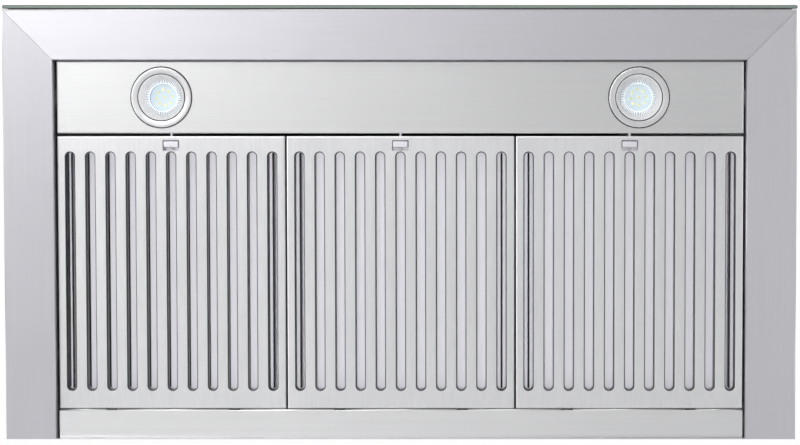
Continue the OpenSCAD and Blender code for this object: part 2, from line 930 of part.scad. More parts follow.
module blower_scroll() {
    color(zinc) {
        difference() {
            blower_plane(-scroll_w / 2, scroll_w)
                polygon(scroll_points(0));
            blower_plane(-scroll_w / 2 - cut, scroll_w + 2 * cut)
                polygon(scroll_points(sheet));
            translate([-scroll_w / 2 - cut, blower_y + tongue_u + sheet, z_canopy - sheet])
                cube([scroll_w + 2 * cut, scroll_r1 - tongue_u - 2 * sheet, 2 * sheet]);
        }
        difference() {
            block(
                [-scroll_w / 2 - outlet_flange_w, blower_y + tongue_u - outlet_flange_w,
                    z_canopy - sheet],
                [scroll_w / 2 + outlet_flange_w, blower_y + scroll_r1 + outlet_flange_w, z_canopy]
            );
            block(
                [-scroll_w / 2 - sheet, blower_y + tongue_u + sheet / 2, z_canopy - sheet - cut],
                [scroll_w / 2 + sheet, blower_y + scroll_r1 - sheet / 2, z_canopy + cut]
            );
            plate_screw_places()
                translate([0, 0, -sheet - cut])
                    cylinder(r = screw_r, h = sheet + 2 * cut);
        }
    }
}

// Side plate with the air inlet and its bell mouth
module blower_inlet_plate() {
    x0 = scroll_w / 2;
    color(zinc) {
        difference() {
            blower_plane(x0, sheet)
                polygon(side_plate_points());
            translate([x0 - cut, blower_y, blower_z])
                rod_x(inlet_r, sheet + 2 * cut);
        }
        translate([x0, blower_y, blower_z])
            rotate([0, 90, 0])
                rotate_extrude()
                    polygon([
                        [inlet_r, 0], [inlet_r + bell_h, 0], [inlet_r + bell_h, 2 * sheet],
                        [inlet_r + sheet, 2 * sheet], [inlet_r + sheet, bell_h + sheet],
                        [inlet_r, bell_h + sheet]
                    ]);
    }
}

// Side plate outline: the scroll's outline, stopping under the outlet flange
function side_plate_points() = concat(
    [for (p = scroll_points(0)) [p[0], min(p[1], outlet_v - sheet)]]
);

// Side plate that carries the motor
module blower_motor_plate() {
    hub_room = 2;
    color(zinc)
        difference() {
            blower_plane(x_motor_plate, sheet)
                polygon(side_plate_points());
            translate([x_motor_plate - cut, blower_y, blower_z])
                rod_x(hub_r + hub_room, sheet + 2 * cut);
        }
}

// Drum of forward blades between a back plate and a front ring
module impeller() {
    ring_w = blade_d;
    plate_t = 1.5;
    blade_in = 1.5;
    blade_turn = 25;
    color(grey_plastic)
        translate([x_impeller, blower_y, blower_z]) {
            difference() {
                union() {
                    rod_x(impeller_r, plate_t);
                    rod_x(hub_r, impeller_w / 4);
                }
                translate([-cut, 0, 0])
                    rod_x(shaft_r, impeller_w / 4 + 2 * cut);
            }
            translate([impeller_w - plate_t, 0, 0])
                difference() {
                    rod_x(impeller_r, plate_t);
                    translate([-cut, 0, 0])
                        rod_x(impeller_r - ring_w, plate_t + 2 * cut);
                }
            for (k = [0:blade_count - 1])
                rotate([k * 360 / blade_count, 0, 0])
                    translate([plate_t / 2, 0, impeller_r - ring_w + blade_in])
                        rotate([blade_turn, 0, 0])
                            translate([0, -blade_t / 2, 0])
                                cube([impeller_w - plate_t, blade_t, ring_w - 2 * blade_in]);
        }
}

module motor_shaft() {
    color(bright_steel)
        translate([x_motor_plate - motor_l + 2 * motor_gap, blower_y, blower_z])
            rod_x(shaft_r, x_impeller + impeller_w / 4 - x_motor_plate + motor_l - 2 * motor_gap);
}

// Motor can with its end bells, bored for the shaft
module blower_motor() {
    bell_l = 10;
    bell_step = 5;
    color(black_plastic)
        translate([x_motor_plate - motor_l, blower_y, blower_z])
            difference() {
                union() {
                    rod_x(motor_r - bell_step, motor_l);
                    translate([bell_l, 0, 0])
                        rod_x(motor_r, motor_l - 2 * bell_l);
                }
                translate([motor_gap, 0, 0])
                    rod_x(shaft_r + run_clear, motor_l);
            }
}

// Run capacitor, hung from the top plate
module capacitor() {
    cap_r = 15;
    cap_l = 50;
    cap_y = 60;
    color(grey_plastic)
        translate([-scroll_w / 2 - outlet_flange_w - 2 * cap_r, y_duct + cap_y, z_canopy - cap_l])
            cylinder(r = cap_r, h = cap_l);
}

// Lead from the motor round the back of the scroll to the control box
module blower_wiring() {
    x0 = x_motor_plate - motor_l / 2;
    y0 = blower_y + motor_r;
    wall_gap = 10;
    y1 = y_back - wall_gap;
    x1 = -box_w / 2;
    color(black_plastic) {
        translate([x0, y0, blower_z])
            rod_y(wire_r, y1 - y0);
        translate([x0, y1, blower_z])
            sphere(r = wire_r);
        translate([x0, y1, blower_z])
            rod_x(wire_r, x1 - x0);
    }
}

module control_box() {
    x0 = -box_w / 2;
    x1 = box_w / 2;
    color(grey_plastic)
        difference() {
            block([x0, y_back - box_d, box_z], [x1, y_back, box_z + box_h]);
            block([x0 + box_wall, y_back - box_d - cut, box_z + box_wall],
                [x1 - box_wall, y_back - box_wall, box_z + box_h - box_wall]);
        }
}

module control_box_lid() {
    color(grey_plastic)
        block(
            [-box_w / 2, y_back - box_d - box_wall, box_z],
            [box_w / 2, y_back - box_d, box_z + box_h]
        );
}

// Control board with its relay and transformer
module control_board() {
    edge = 3;
    inset = box_wall + edge;
    relay_h = 22;
    y1 = y_back - box_wall;
    color(board_green)
        block([-box_w / 2 + inset, y1 - board_t, box_z + inset],
            [box_w / 2 - inset, y1, box_z + box_h - inset]);
    color(black_plastic)
        for (k = [0, 1])
            translate([-box_w / 4 + k * box_w / 3, y1 - board_t - relay_h, box_z + box_h / 3])
                cube([box_w / 5, relay_h + board_t / 2, box_h / 3]);
}

module cable_gland() {
    flange_t = 3;
    color(black_plastic)
        translate([gland_x, 0, gland_z])
            difference() {
                union() {
                    translate([0, y_back - gland_l, 0])
                        rod_y(gland_r + gland_wall, gland_l + sheet);
                    translate([0, y_back - flange_t, 0])
                        rod_y(gland_r + 2 * gland_wall, flange_t);
                }
                translate([0, y_back - gland_l - cut, 0])
                    rod_y(gland_r, gland_l + sheet + 2 * cut);
            }
}

// Outlet

module outlet_collar() {
    stop_h = 2;
    head_room = 1;
    color(zinc)
        translate([0, y_duct, z_plate])
            difference() {
                union() {
                    cylinder(r = collar_r + collar_flange_w, h = collar_flange_t);
                    cylinder(r = collar_r, h = collar_l);
                }
                difference() {
                    translate([0, 0, -cut])
                        cylinder(r = collar_r - collar_t, h = collar_l + 2 * cut);
                    translate([0, 0, damper_z - flap_t / 2 - seat_gap - stop_h])
                        flap_stops(stop_h);
                }
                translate([0, -collar_r - cut, damper_z])
                    rod_y(pin_r, 2 * collar_r + 2 * cut);
                translate([0, -y_duct, -z_plate])
                    plate_screw_places()
                        cylinder(r = head_r + head_room, h = 2 * sheet + collar_flange_t + cut);
            }
}

// Two stops on the wall of the collar, under the flaps
module flap_stops(h) {
    stop_w = 3;
    for (side = [-1, 1])
        intersection() {
            difference() {
                cylinder(r = collar_r - collar_t + cut / 2, h = h);
                translate([0, 0, -cut])
                    cylinder(r = collar_r - collar_t - stop_w, h = h + 2 * cut);
            }
            translate([side * collar_r, 0, h / 2])
                cube([collar_r, collar_r / 2, h + 2 * cut], center = true);
        }
}

module damper_pin() {
    sunk = 0.3;
    color(bright_steel)
        translate([0, y_duct - collar_r + sunk, z_pin])
            rod_y(pin_r, 2 * collar_r - 2 * sunk);
}

// Half disc on its knuckles; side is -1 on the left and 1 on the right
module damper_flap(side) {
    step = flap_r / 4;
    gap = 0.5;
    turn = side < 0 ? 0 : 180;
    edge_gap = 0.7;
    lap = 1;
    hinge_in = knuckle_r + edge_gap;
    color(zinc)
        translate([0, y_duct, z_pin])
            rotate([0, 0, turn])
                difference() {
                    union() {
                        intersection() {
                            translate([0, 0, -flap_t / 2])
                                cylinder(r = flap_r, h = flap_t);
                            translate([-collar_r - hinge_in, -collar_r, -flap_t])
                                cube([collar_r, 2 * collar_r, 2 * flap_t]);
                        }
                        for (k = [-3, 1])
                            translate([0, k * step + gap, 0]) {
                                rod_y(knuckle_r, step - 2 * gap);
                                translate([-hinge_in - lap, 0, -flap_t / 2])
                                    cube([hinge_in + lap, step - 2 * gap, flap_t]);
                            }
                    }
                    translate([0, -collar_r, 0])
                        rod_y(pin_r + run_clear, 2 * collar_r);
                }
}

// Flue cover

// Three-sided cover open at the wall, with inner faces left by the sheet
module cover(w, y0, y1, l) {
    difference() {
        block([-w / 2, y0, 0], [w / 2, y1, l]);
        block([-w / 2 + sheet, y0 + sheet, -cut], [w / 2 - sheet, y1 + cut, l + cut]);
    }
}

module flue_cover_lower() {
    color(steel)
        difference() {
            translate([0, 0, z_plate])
                cover(flue_w, y_flue, y_wall, flue_lower_l);
            flue_screw_places()
                translate([-flue_screw_l, 0, 0])
                    rod_x(screw_r, flue_screw_l + cut);
        }
}

module flue_cover_upper() {
    vent_edge = 22;
    color(steel)
        difference() {
            translate([0, 0, z_upper])
                cover(upper_w, y_upper, y_upper_back, flue_upper_l);
            for (side = [0, 1])
                mirror([side, 0, 0])
                    for (k = [0:vent_count - 1])
                        translate([upper_w / 2 - 2 * sheet,
                            y_duct + (k - (vent_count - 1) / 2) * vent_pitch,
                            z_upper_top - vent_edge - vent_l])
                            rotate([90, 0, 90])
                                slot_bar(vent_w, vent_l, 3 * sheet);
        }
}

// Wall bracket that the upper cover is fixed to
module flue_bracket() {
    bracket_t = 1.5;
    bracket_h = 20;
    arm = 26;
    inner = upper_w / 2 - sheet;
    z0 = z_upper_top - bracket_h;
    color(zinc)
        difference() {
            union() {
                block([-inner, y_wall - bracket_t, z0], [inner, y_wall, z_upper_top]);
                for (side = [-1, 1])
                    block(
                        [side > 0 ? inner - bracket_t : -inner, y_wall - arm, z0],
                        [side > 0 ? inner : -inner + bracket_t, y_wall, z_upper_top]
                    );
            }
            for (side = [-1, 1])
                translate([side * bracket_span / 2, y_wall - bracket_t - cut, z0 + bracket_h / 2])
                    rod_y(fix_r, bracket_t + 2 * cut);
        }
}

// Screws that hold the blower's outlet flange to the top plate
module top_plate_screws() {
    tip_l = 1;
    color(bright_steel)
        plate_screw_places()
            translate([0, 0, -sheet]) {
                translate([0, 0, -screw_head_h])
                    cylinder(r = head_r, h = screw_head_h);
                translate([0, 0, -screw_head_h / 2])
                    cylinder(r = screw_r, h = screw_head_h / 2 + 2 * sheet + tip_l);
            }
}

// Screws in the sides of the lower flue cover
module flue_screws() {
    color(bright_steel)
        flue_screw_places() {
            rod_x(head_r, screw_head_h);
            translate([-flue_screw_l, 0, 0])
                rod_x(screw_r, flue_screw_l + screw_head_h / 2);
        }
}

front_panel();
side_panel(-1);  // left_side_panel
side_panel(1);  // right_side_panel
canopy_shell();
back_panel();
top_plate();
glass_fascia();
fascia_tape();
touch_tray();
touch_board();
light_panel();
back_strip();
lamp_driver();
lamp_wiring();
lamp_bezel(-1);  // left_lamp_bezel
lamp_lens(-1);  // left_lamp_lens
lamp_board(-1);  // left_lamp_board
lamp_sink(-1);  // left_lamp_sink
lamp_clips(-1);  // left_lamp_clips
lamp_bezel(1);  // right_lamp_bezel
lamp_lens(1);  // right_lamp_lens
lamp_board(1);  // right_lamp_board
lamp_sink(1);  // right_lamp_sink
lamp_clips(1);  // right_lamp_clips
filter_face(-1);  // left_filter_face
filter_back(-1);  // left_filter_back
latch(-1);  // left_latch
latch_guide(-1);  // left_latch_guide
latch_spring(-1);  // left_latch_spring
filter_face(0);  // centre_filter_face
filter_back(0);  // centre_filter_back
latch(0);  // centre_latch
latch_guide(0);  // centre_latch_guide
latch_spring(0);  // centre_latch_spring
filter_face(1);  // right_filter_face
filter_back(1);  // right_filter_back
latch(1);  // right_latch
latch_guide(1);  // right_latch_guide
latch_spring(1);  // right_latch_spring
blower_scroll();
blower_inlet_plate();
blower_motor_plate();
impeller();
motor_shaft();
blower_motor();
capacitor();
blower_wiring();
control_box();
control_box_lid();
control_board();
cable_gland();
outlet_collar();
damper_pin();
damper_flap(-1);  // left_damper_flap
damper_flap(1);  // right_damper_flap
flue_cover_lower();
flue_cover_upper();
flue_bracket();
top_plate_screws();
flue_screws();
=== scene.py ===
"""Canopy range hood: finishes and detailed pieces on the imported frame."""
import json
import math

import bmesh
import bpy
from mathutils import Matrix, Vector


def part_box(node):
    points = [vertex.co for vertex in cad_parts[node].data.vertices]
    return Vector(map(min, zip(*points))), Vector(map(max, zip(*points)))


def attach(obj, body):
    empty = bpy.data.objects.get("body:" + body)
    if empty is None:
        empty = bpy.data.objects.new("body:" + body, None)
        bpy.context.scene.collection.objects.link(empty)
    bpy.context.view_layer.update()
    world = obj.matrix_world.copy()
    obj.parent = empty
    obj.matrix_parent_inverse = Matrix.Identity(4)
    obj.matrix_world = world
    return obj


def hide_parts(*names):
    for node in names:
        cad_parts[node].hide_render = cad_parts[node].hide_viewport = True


bl_info = {
    "name": "Canopy range hood",
    "version": (1, 0, 0),
    "blender": (4, 5, 0),
    "location": "3D View > Sidebar > Range Hood",
    "description": "Makes the detailed pieces, finishes and studio of a canopy range hood",
    "category": "Add Mesh",
}

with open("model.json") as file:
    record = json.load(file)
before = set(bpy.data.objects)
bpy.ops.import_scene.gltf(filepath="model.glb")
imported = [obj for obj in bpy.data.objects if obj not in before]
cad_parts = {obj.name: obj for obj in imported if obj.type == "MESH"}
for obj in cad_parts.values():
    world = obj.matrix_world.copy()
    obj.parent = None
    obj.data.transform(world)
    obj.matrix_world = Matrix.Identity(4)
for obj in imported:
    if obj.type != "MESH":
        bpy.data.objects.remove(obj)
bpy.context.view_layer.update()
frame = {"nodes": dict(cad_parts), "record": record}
SIDES = (("left", -1), ("right", 1))
FILTERS = (("left", -1), ("centre", 0), ("right", 1))
MM = 0.001
# Radius that stands in for the axis of a turned piece
AXIS_R = 0.01 * MM
# Rounding of the cut edges of tabs and lips
CUT_EDGE = 0.3 * MM
# Range of a noise that its colours and roughness run over
SPREAD = (0.3, 0.7)
# Room for rounding errors where a face only touches a cut
TOUCH = 0.001 * MM


def low(node):
    """Lowest corner of a node."""
    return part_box(node)[0]


def high(node):
    """Highest corner of a node."""
    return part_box(node)[1]


# Planes and levels of the hood, from its nodes
X_OUT = high("right_side_panel").x
X_LIP = high("light_panel").x
X_IN = -low("left_filter_face").x
Y_STEEL = low("front_panel").y
Y_LIP = high("front_panel").y
Y_LIGHT0 = low("light_panel").y
Y_LIGHT1 = high("light_panel").y
Y_FILTER0 = low("centre_filter_face").y
Y_STRIP0 = low("back_strip").y
Y_BACK = high("back_strip").y
Z_RIM = high("front_panel").z
Z_PANEL = low("light_panel").z
Z_CANOPY = high("canopy_shell").z
LAMP_X = (low("right_lamp_bezel").x + high("right_lamp_bezel").x) / 2
LAMP_Y = (low("right_lamp_bezel").y + high("right_lamp_bezel").y) / 2
FILTER_STEP = high("centre_filter_face").x - high("left_filter_face").x


# Sizes and colours that a user would change

def length(name, description, default):
    """A length in metres, given in millimetres."""
    return bpy.props.FloatProperty(name=name, description=description, default=default * MM, unit="LENGTH",
                                   precision=5)


def tint(name, description, default):
    """A colour, as linear red, green and blue."""
    return bpy.props.FloatVectorProperty(name=name, description=description, default=default, size=3,
                                         subtype="COLOR", min=0, max=1)


def number(name, description, default):
    """A plain number."""
    return bpy.props.FloatProperty(name=name, description=description, default=default)


def rotation(name, description, degrees):
    """An angle, given in degrees."""
    return bpy.props.FloatProperty(name=name, description=description, default=math.radians(degrees),
                                   unit="ROTATION")


def whole(name, description, default):
    """A whole number."""
    return bpy.props.IntProperty(name=name, description=description, default=default)


def watts(name, description, default):
    """Power of a lamp, in watts."""
    return bpy.props.FloatProperty(name=name, description=description, default=default, unit="POWER")


class HoodSheet(bpy.types.PropertyGroup):
    """Sheet metal of the rim, the canopy and the flue cover."""
    sheet: length("Sheet", "Thickness of the steel sheet", 1)
    bend: length("Bend", "Outer radius of a fold of the rim and the canopy", 1.2)
    panel_bend: length("Panel bend", "Outer radius of a fold of the light panel and the back strip", 1.8)
    rear_bend: length("Rear bend", "Outer radius of the back strip's fold at the wall", 0.4)
    hem_h: length("Inner edge", "Height of the edge inside the lip", 20)
    flange_w: length("Flange", "Width of the flange at the top of the rim", 14)
    seam: length("Seam", "Width of the seam at a mitre", 0.35)
    vent_w: length("Vent width", "Width of a vent slot", 5)
    vent_l: length("Vent length", "Length of a vent slot", 50)
    vent_pitch: length("Vent pitch", "Distance between vent slots", 16)
    vent_edge: length("Vent edge", "Distance of the vents from the top of the flue cover", 22)
    vent_count: whole("Vents", "Vent slots on each side", 7)


class HoodFilter(bpy.types.PropertyGroup):
    """Baffle filter: slotted face, channels behind it and its latch."""
    sheet: length("Sheet", "Thickness of the filter sheet", 0.8)
    bend: length("Bend", "Outer radius of the folds of the pan", 1.8)
    slot_w: length("Slot width", "Width of one slot", 9.8)
    slot_pitch: length("Slot pitch", "Distance between the centres of the slots", 23)
    slot_edge: length("Slot edge", "Least plain edge beside the outer slots", 8)
    slot_front: length("Front edge", "Plain face in front of the slots", 18.6)
    slot_rear: length("Rear edge", "Plain face behind the slots", 19.8)
    rear_reach: length("Rear reach", "How far the pan stands out behind its channels", 1.5)
    slot_roll: length("Roll", "Radius of the rolled edge round a slot", 1.5)
    collar_h: length("Collar", "Height of the collar round a slot", 8)
    channel_w: length("Channel width", "Width of one channel behind a slot", 14.7)
    leg_gap: length("Leg gap", "Clearance between a channel's legs and the face", 5)
    channel_bend: length("Channel bend", "Outer radius of the folds of a channel", 1.6)
    lip_w: length("Lip", "Width of the lip in the first and the last slot", 2.1)
    tab_w: length("Tab width", "Width of a rear tab", 11)
    tab_span: length("Tab span", "Distance between the two rear tabs", 140.5)
    finger_w: length("Finger tab width", "Width of the latch's finger tab", 16.4)
    finger_d: length("Finger tab depth", "Depth of the finger tab", 6.5)
    travel: length("Travel", "Travel of the latch", 4)


class HoodLamp(bpy.types.PropertyGroup):
    """Recessed lamp."""
    flange_r: length("Flange", "Radius of the flange", 34)
    body_r: length("Body", "Radius of the body", 28)
    mouth_r: length("Mouth", "Radius at the mouth", 26.5)
    lens_r: length("Lens", "Radius of the lens", 20.5)
    clear_r: length("Clear disc", "Radius of the clear disc in the lens", 15.5)
    ring_r: length("Chip ring", "Radius of the ring of light chips", 9)
    chip: length("Chip", "Size of one light chip", 3.4)
    chips: whole("Chips", "Chips on the ring", 8)
    chip_turn: rotation("Chip turn", "Turn of the ring of chips", -7.5)
    # The dark line is partly painted shade: the black gasket and the groove's black floor stand in for shadow
    # lines round the flange
    line: length("Dark line", "Width of the gasket and of the groove that show round the flange", 1.2)
    ribs: whole("Ribs", "Ribs round the lens", 60)


class HoodFinish(bpy.types.PropertyGroup):
    """Colours of the finishes."""
    rail: tint("Rails", "Brushed steel of the rim and canopy", (0.76, 0.75, 0.79))
    panel: tint("Panels", "Steel of the light panel and the back strip", (0.83, 0.83, 0.83))
    filter: tint("Filters", "Satin steel of the filters", (0.91, 0.91, 0.92))
    baffle: tint("Channels", "Bright steel behind the slots", (0.93, 0.92, 0.98))
    # Painted shade: the slot walls and the rolled slot edges are dark copies of the filter steel, standing in
    # for the shade and dark reflections inside the slots
    shaded: tint("Slot walls", "Duller steel on the walls of the slots", (0.30, 0.30, 0.31))
    edge: tint("Slot edges", "Dark steel on the rolled edges of the slots", (0.13, 0.13, 0.13))
    # Painted shade: the channel legs are a near-black copy of the steel, standing in for the shade between
    # the face and the back sheet
    leg: tint("Channel legs", "Dull steel on the legs of the channels", (0.05, 0.05, 0.052))
    zinc: tint("Zinc", "Zinc-coated sheet inside the hood", (0.52, 0.54, 0.56))
    glass_edge: tint("Glass edge", "Green of the polished glass edge", (0.15, 0.195, 0.165))
    lens: tint("Lens", "Tint of the lamp lens", (0.96, 0.98, 1.0))
    phosphor: tint("Light chips", "Yellow of the light chips", (1.0, 0.90, 0.45))


class HoodStudio(bpy.types.PropertyGroup):
    """Camera, lights and floor."""
    distance: length("Distance", "Camera's distance below the rim", 1700)
    tilt: rotation("Tilt", "Camera's tilt towards the wall", 2)
    axis_x: length("Axis across", "Where the camera's axis meets the rim, across", 125)
    view_w: length("View width", "Width of the view at the rim", 906.8)
    centre_y: length("View centre", "Middle of the view, front to back", -0.9)
    shift_y: number("Shift", "Upright shift of the lens", -0.075)
    ambient: number("Ambient", "Strength of the room's light", 0.455)
    pool: watts("Pool", "Power of the lamp that lights the floor at the left", 152)
    rear: watts("Rear pool", "Power of the lamp that lights the floor behind", 38)
    right: watts("Right pool", "Power of the lamp that lights the floor at the right", 20)
    fill: watts("Fill", "Power of the soft lamp beside the camera", 29)
    side: watts("Side", "Power of the long lamp at the left", 50)
    front: watts("Front", "Power of the long lamp in front", 60)
    floor_lift: number("Floor lift", "How much paler the camera sees the floor", 0.5)
    floor_z: length("Floor", "Height of the floor", -6000)


GROUPS = {
    "hood_sheet": HoodSheet,
    "hood_filter": HoodFilter,
    "hood_lamp": HoodLamp,
    "hood_finish": HoodFinish,
    "hood_studio": HoodStudio,
}


# Materials

def feed(tree, node, inputs):
    """Gives inputs of a node a value, or a link where the value is another node's output."""
    for name, value in inputs.items():
        if isinstance(value, bpy.types.NodeSocket):
            tree.links.new(value, node.inputs[name])
        else:
            node.inputs[name].default_value = value


def add_node(tree, kind, inputs):
    """A new shader node with its inputs fed."""
    node = tree.nodes.new("ShaderNode" + kind)
    feed(tree, node, inputs)
    return node


def own_place(tree):
    """Object coordinates."""
    return tree.nodes.new("ShaderNodeTexCoord").outputs["Object"]


def make_material(name, colour, metallic=0.0, roughness=0.5):
    """A new material with its shader's plain values set; returns the material, its nodes and the shader."""
    material = bpy.data.materials.new(name)
    material.use_nodes = True
    tree = material.node_tree
    shader = tree.nodes["Principled BSDF"]
    feed(tree, shader, {"Base Color": (*colour, 1), "Metallic": metallic, "Roughness": roughness})
    material.diffuse_color = (*colour, 1)
    return material, tree, shader


def noise(tree, stretch, detail=2.0):
    """Noise on Object coordinates, with its own scale along each axis in cycles a metre."""
    mapping = add_node(tree, "Mapping", {"Vector": own_place(tree), "Scale": stretch})
    return add_node(tree, "TexNoise", {"Vector": mapping.outputs["Vector"], "Scale": 1.0,
                                       "Detail": detail}).outputs["Fac"]


def vary_colour(tree, shader, factor, dark, light):
    """Runs the base colour between two colours."""
    ramp = add_node(tree, "ValToRGB", {"Fac": factor})
    for element, position, colour in zip(ramp.color_ramp.elements, SPREAD, (dark, light)):
        element.position = position
        element.color = (*colour, 1)
    feed(tree, shader, {"Base Color": ramp.outputs["Color"]})


def vary_roughness(tree, shader, factor, smooth, rough):
    """Runs the roughness between two values."""
    spread = add_node(tree, "MapRange", {"Value": factor, "From Min": SPREAD[0], "From Max": SPREAD[1],
                                         "To Min": smooth, "To Max": rough})
    feed(tree, shader, {"Roughness": spread.outputs["Result"]})


def add_relief(tree, shader, height, strength, distance):
    """Bump from a height."""
    bump = add_node(tree, "Bump", {"Height": height, "Strength": strength, "Distance": distance})
    feed(tree, shader, {"Normal": bump.outputs["Normal"]})


def shade(colour, factor):
    """A colour made darker or lighter."""
    return tuple(min(1.0, c * factor) for c in colour)


def brushed_steel(name, colour, along, roughness=0.3):
    """Steel brushed along an axis, with hairlines and soft clouds; along is None where no map is laid."""
    material, tree, shader = make_material(name, colour, 1.0, roughness)
    stretch = [900.0, 900.0, 900.0]
    stretch["XYZ".index(along or "Z")] = 6.0
    hairlines = noise(tree, stretch, 3.0)
    vary_colour(tree, shader, hairlines, shade(colour, 0.98), shade(colour, 1.015))
    vary_roughness(tree, shader, noise(tree, (5, 5, 5)), roughness * 0.92, roughness * 1.08)
    add_relief(tree, shader, hairlines, 0.08, 0.00005)
    if along:
        tangent = tree.nodes.new("ShaderNodeTangent")
        tangent.direction_type = "UV_MAP"
        tangent.uv_map = "Brush"
        feed(tree, shader, {"Anisotropic": 0.6, "Tangent": tangent.outputs["Tangent"]})
    return material


def satin_steel(name, colour, roughness, metallic=1.0):
    """Satin rolled steel with faint smears."""
    material, tree, shader = make_material(name, colour, metallic, roughness)
    vary_colour(tree, shader, noise(tree, (300, 40, 300)), shade(colour, 0.975), shade(colour, 1.02))
    vary_roughness(tree, shader, noise(tree, (7, 3, 7), 3.0), roughness * 0.9, roughness * 1.12)
    add_relief(tree, shader, noise(tree, (1200, 300, 1200)), 0.05, 0.00004)
    return material


def zinc_sheet(name, colour):
    """Galvanised sheet with its spangle."""
    material, tree, shader = make_material(name, colour, 1.0, 0.42)
    spangle = add_node(tree, "TexVoronoi", {"Vector": own_place(tree), "Scale": 120})
    tone = add_node(tree, "RGBToBW", {"Color": spangle.outputs["Color"]}).outputs["Val"]
    vary_colour(tree, shader, tone, shade(colour, 0.86), shade(colour, 1.12))
    vary_roughness(tree, shader, tone, 0.36, 0.5)
    return material


def moulded_plastic(name, colour, roughness=0.45, grain=700):
    """Moulded plastic with a fine spark-eroded grain."""
    material, tree, shader = make_material(name, colour, 0.0, roughness)
    grains = noise(tree, (grain, grain, grain))
    vary_colour(tree, shader, noise(tree, (30, 30, 30)), shade(colour, 0.92), shade(colour, 1.08))
    vary_roughness(tree, shader, grains, roughness * 0.85, roughness * 1.15)
    add_relief(tree, shader, grains, 0.25, 0.0001)
    return material


def circuit_board(name, colour):
    """Solder mask over the faint lines of its tracks."""
    material, tree, shader = make_material(name, colour, 0.0, 0.35)
    tracks = add_node(tree, "TexBrick", {
        "Vector": own_place(tree), "Scale": 160, "Color1": (*colour, 1), "Color2": (*shade(colour, 1.15), 1),
        "Mortar": (*shade(colour, 1.6), 1), "Mortar Size": 0.03,
    })
    feed(tree, shader, {"Base Color": tracks.outputs["Color"]})
    vary_roughness(tree, shader, noise(tree, (90, 90, 90)), 0.3, 0.4)
    return material


def clear_glass(name, colour, roughness, ior):
    """Clear glass or plastic."""
    material, tree, shader = make_material(name, colour, 0.0, roughness)
    feed(tree, shader, {"Transmission Weight": 1.0, "IOR": ior})
    vary_roughness(tree, shader, noise(tree, (40, 40, 40)), roughness, roughness * 1.6)
    return material


def glass_edge(name, colour):
    """Polished edge of a glass sheet, green with the depth behind it."""
    material, tree, shader = make_material(name, colour, 0.0, 0.08)
    vary_colour(tree, shader, noise(tree, (4, 60, 60)), shade(colour, 0.9), shade(colour, 1.1))
    feed(tree, shader, {"Coat Weight": 0.6})
    return material


def painted_metal(name, colour, roughness=0.4):
    """Enamel on metal with a slight orange peel."""
    material, tree, shader = make_material(name, colour, 0.0, roughness)
    peel = noise(tree, (220, 220, 220))
    vary_colour(tree, shader, noise(tree, (25, 25, 25)), shade(colour, 0.93), shade(colour, 1.07))
    vary_roughness(tree, shader, peel, roughness * 0.85, roughness * 1.15)
    add_relief(tree, shader, peel, 0.15, 0.0001)
    return material


def glowing(name, colour, strength):
    """Pale surface with a faint glow of its own: unlit light chips, their board and the printed marks."""
    material, tree, shader = make_material(name, colour, 0.0, 0.5)
    vary_colour(tree, shader, noise(tree, (500, 500, 500)), shade(colour, 0.94), colour)
    feed(tree, shader, {"Emission Color": (*colour, 1), "Emission Strength": strength})
    return material


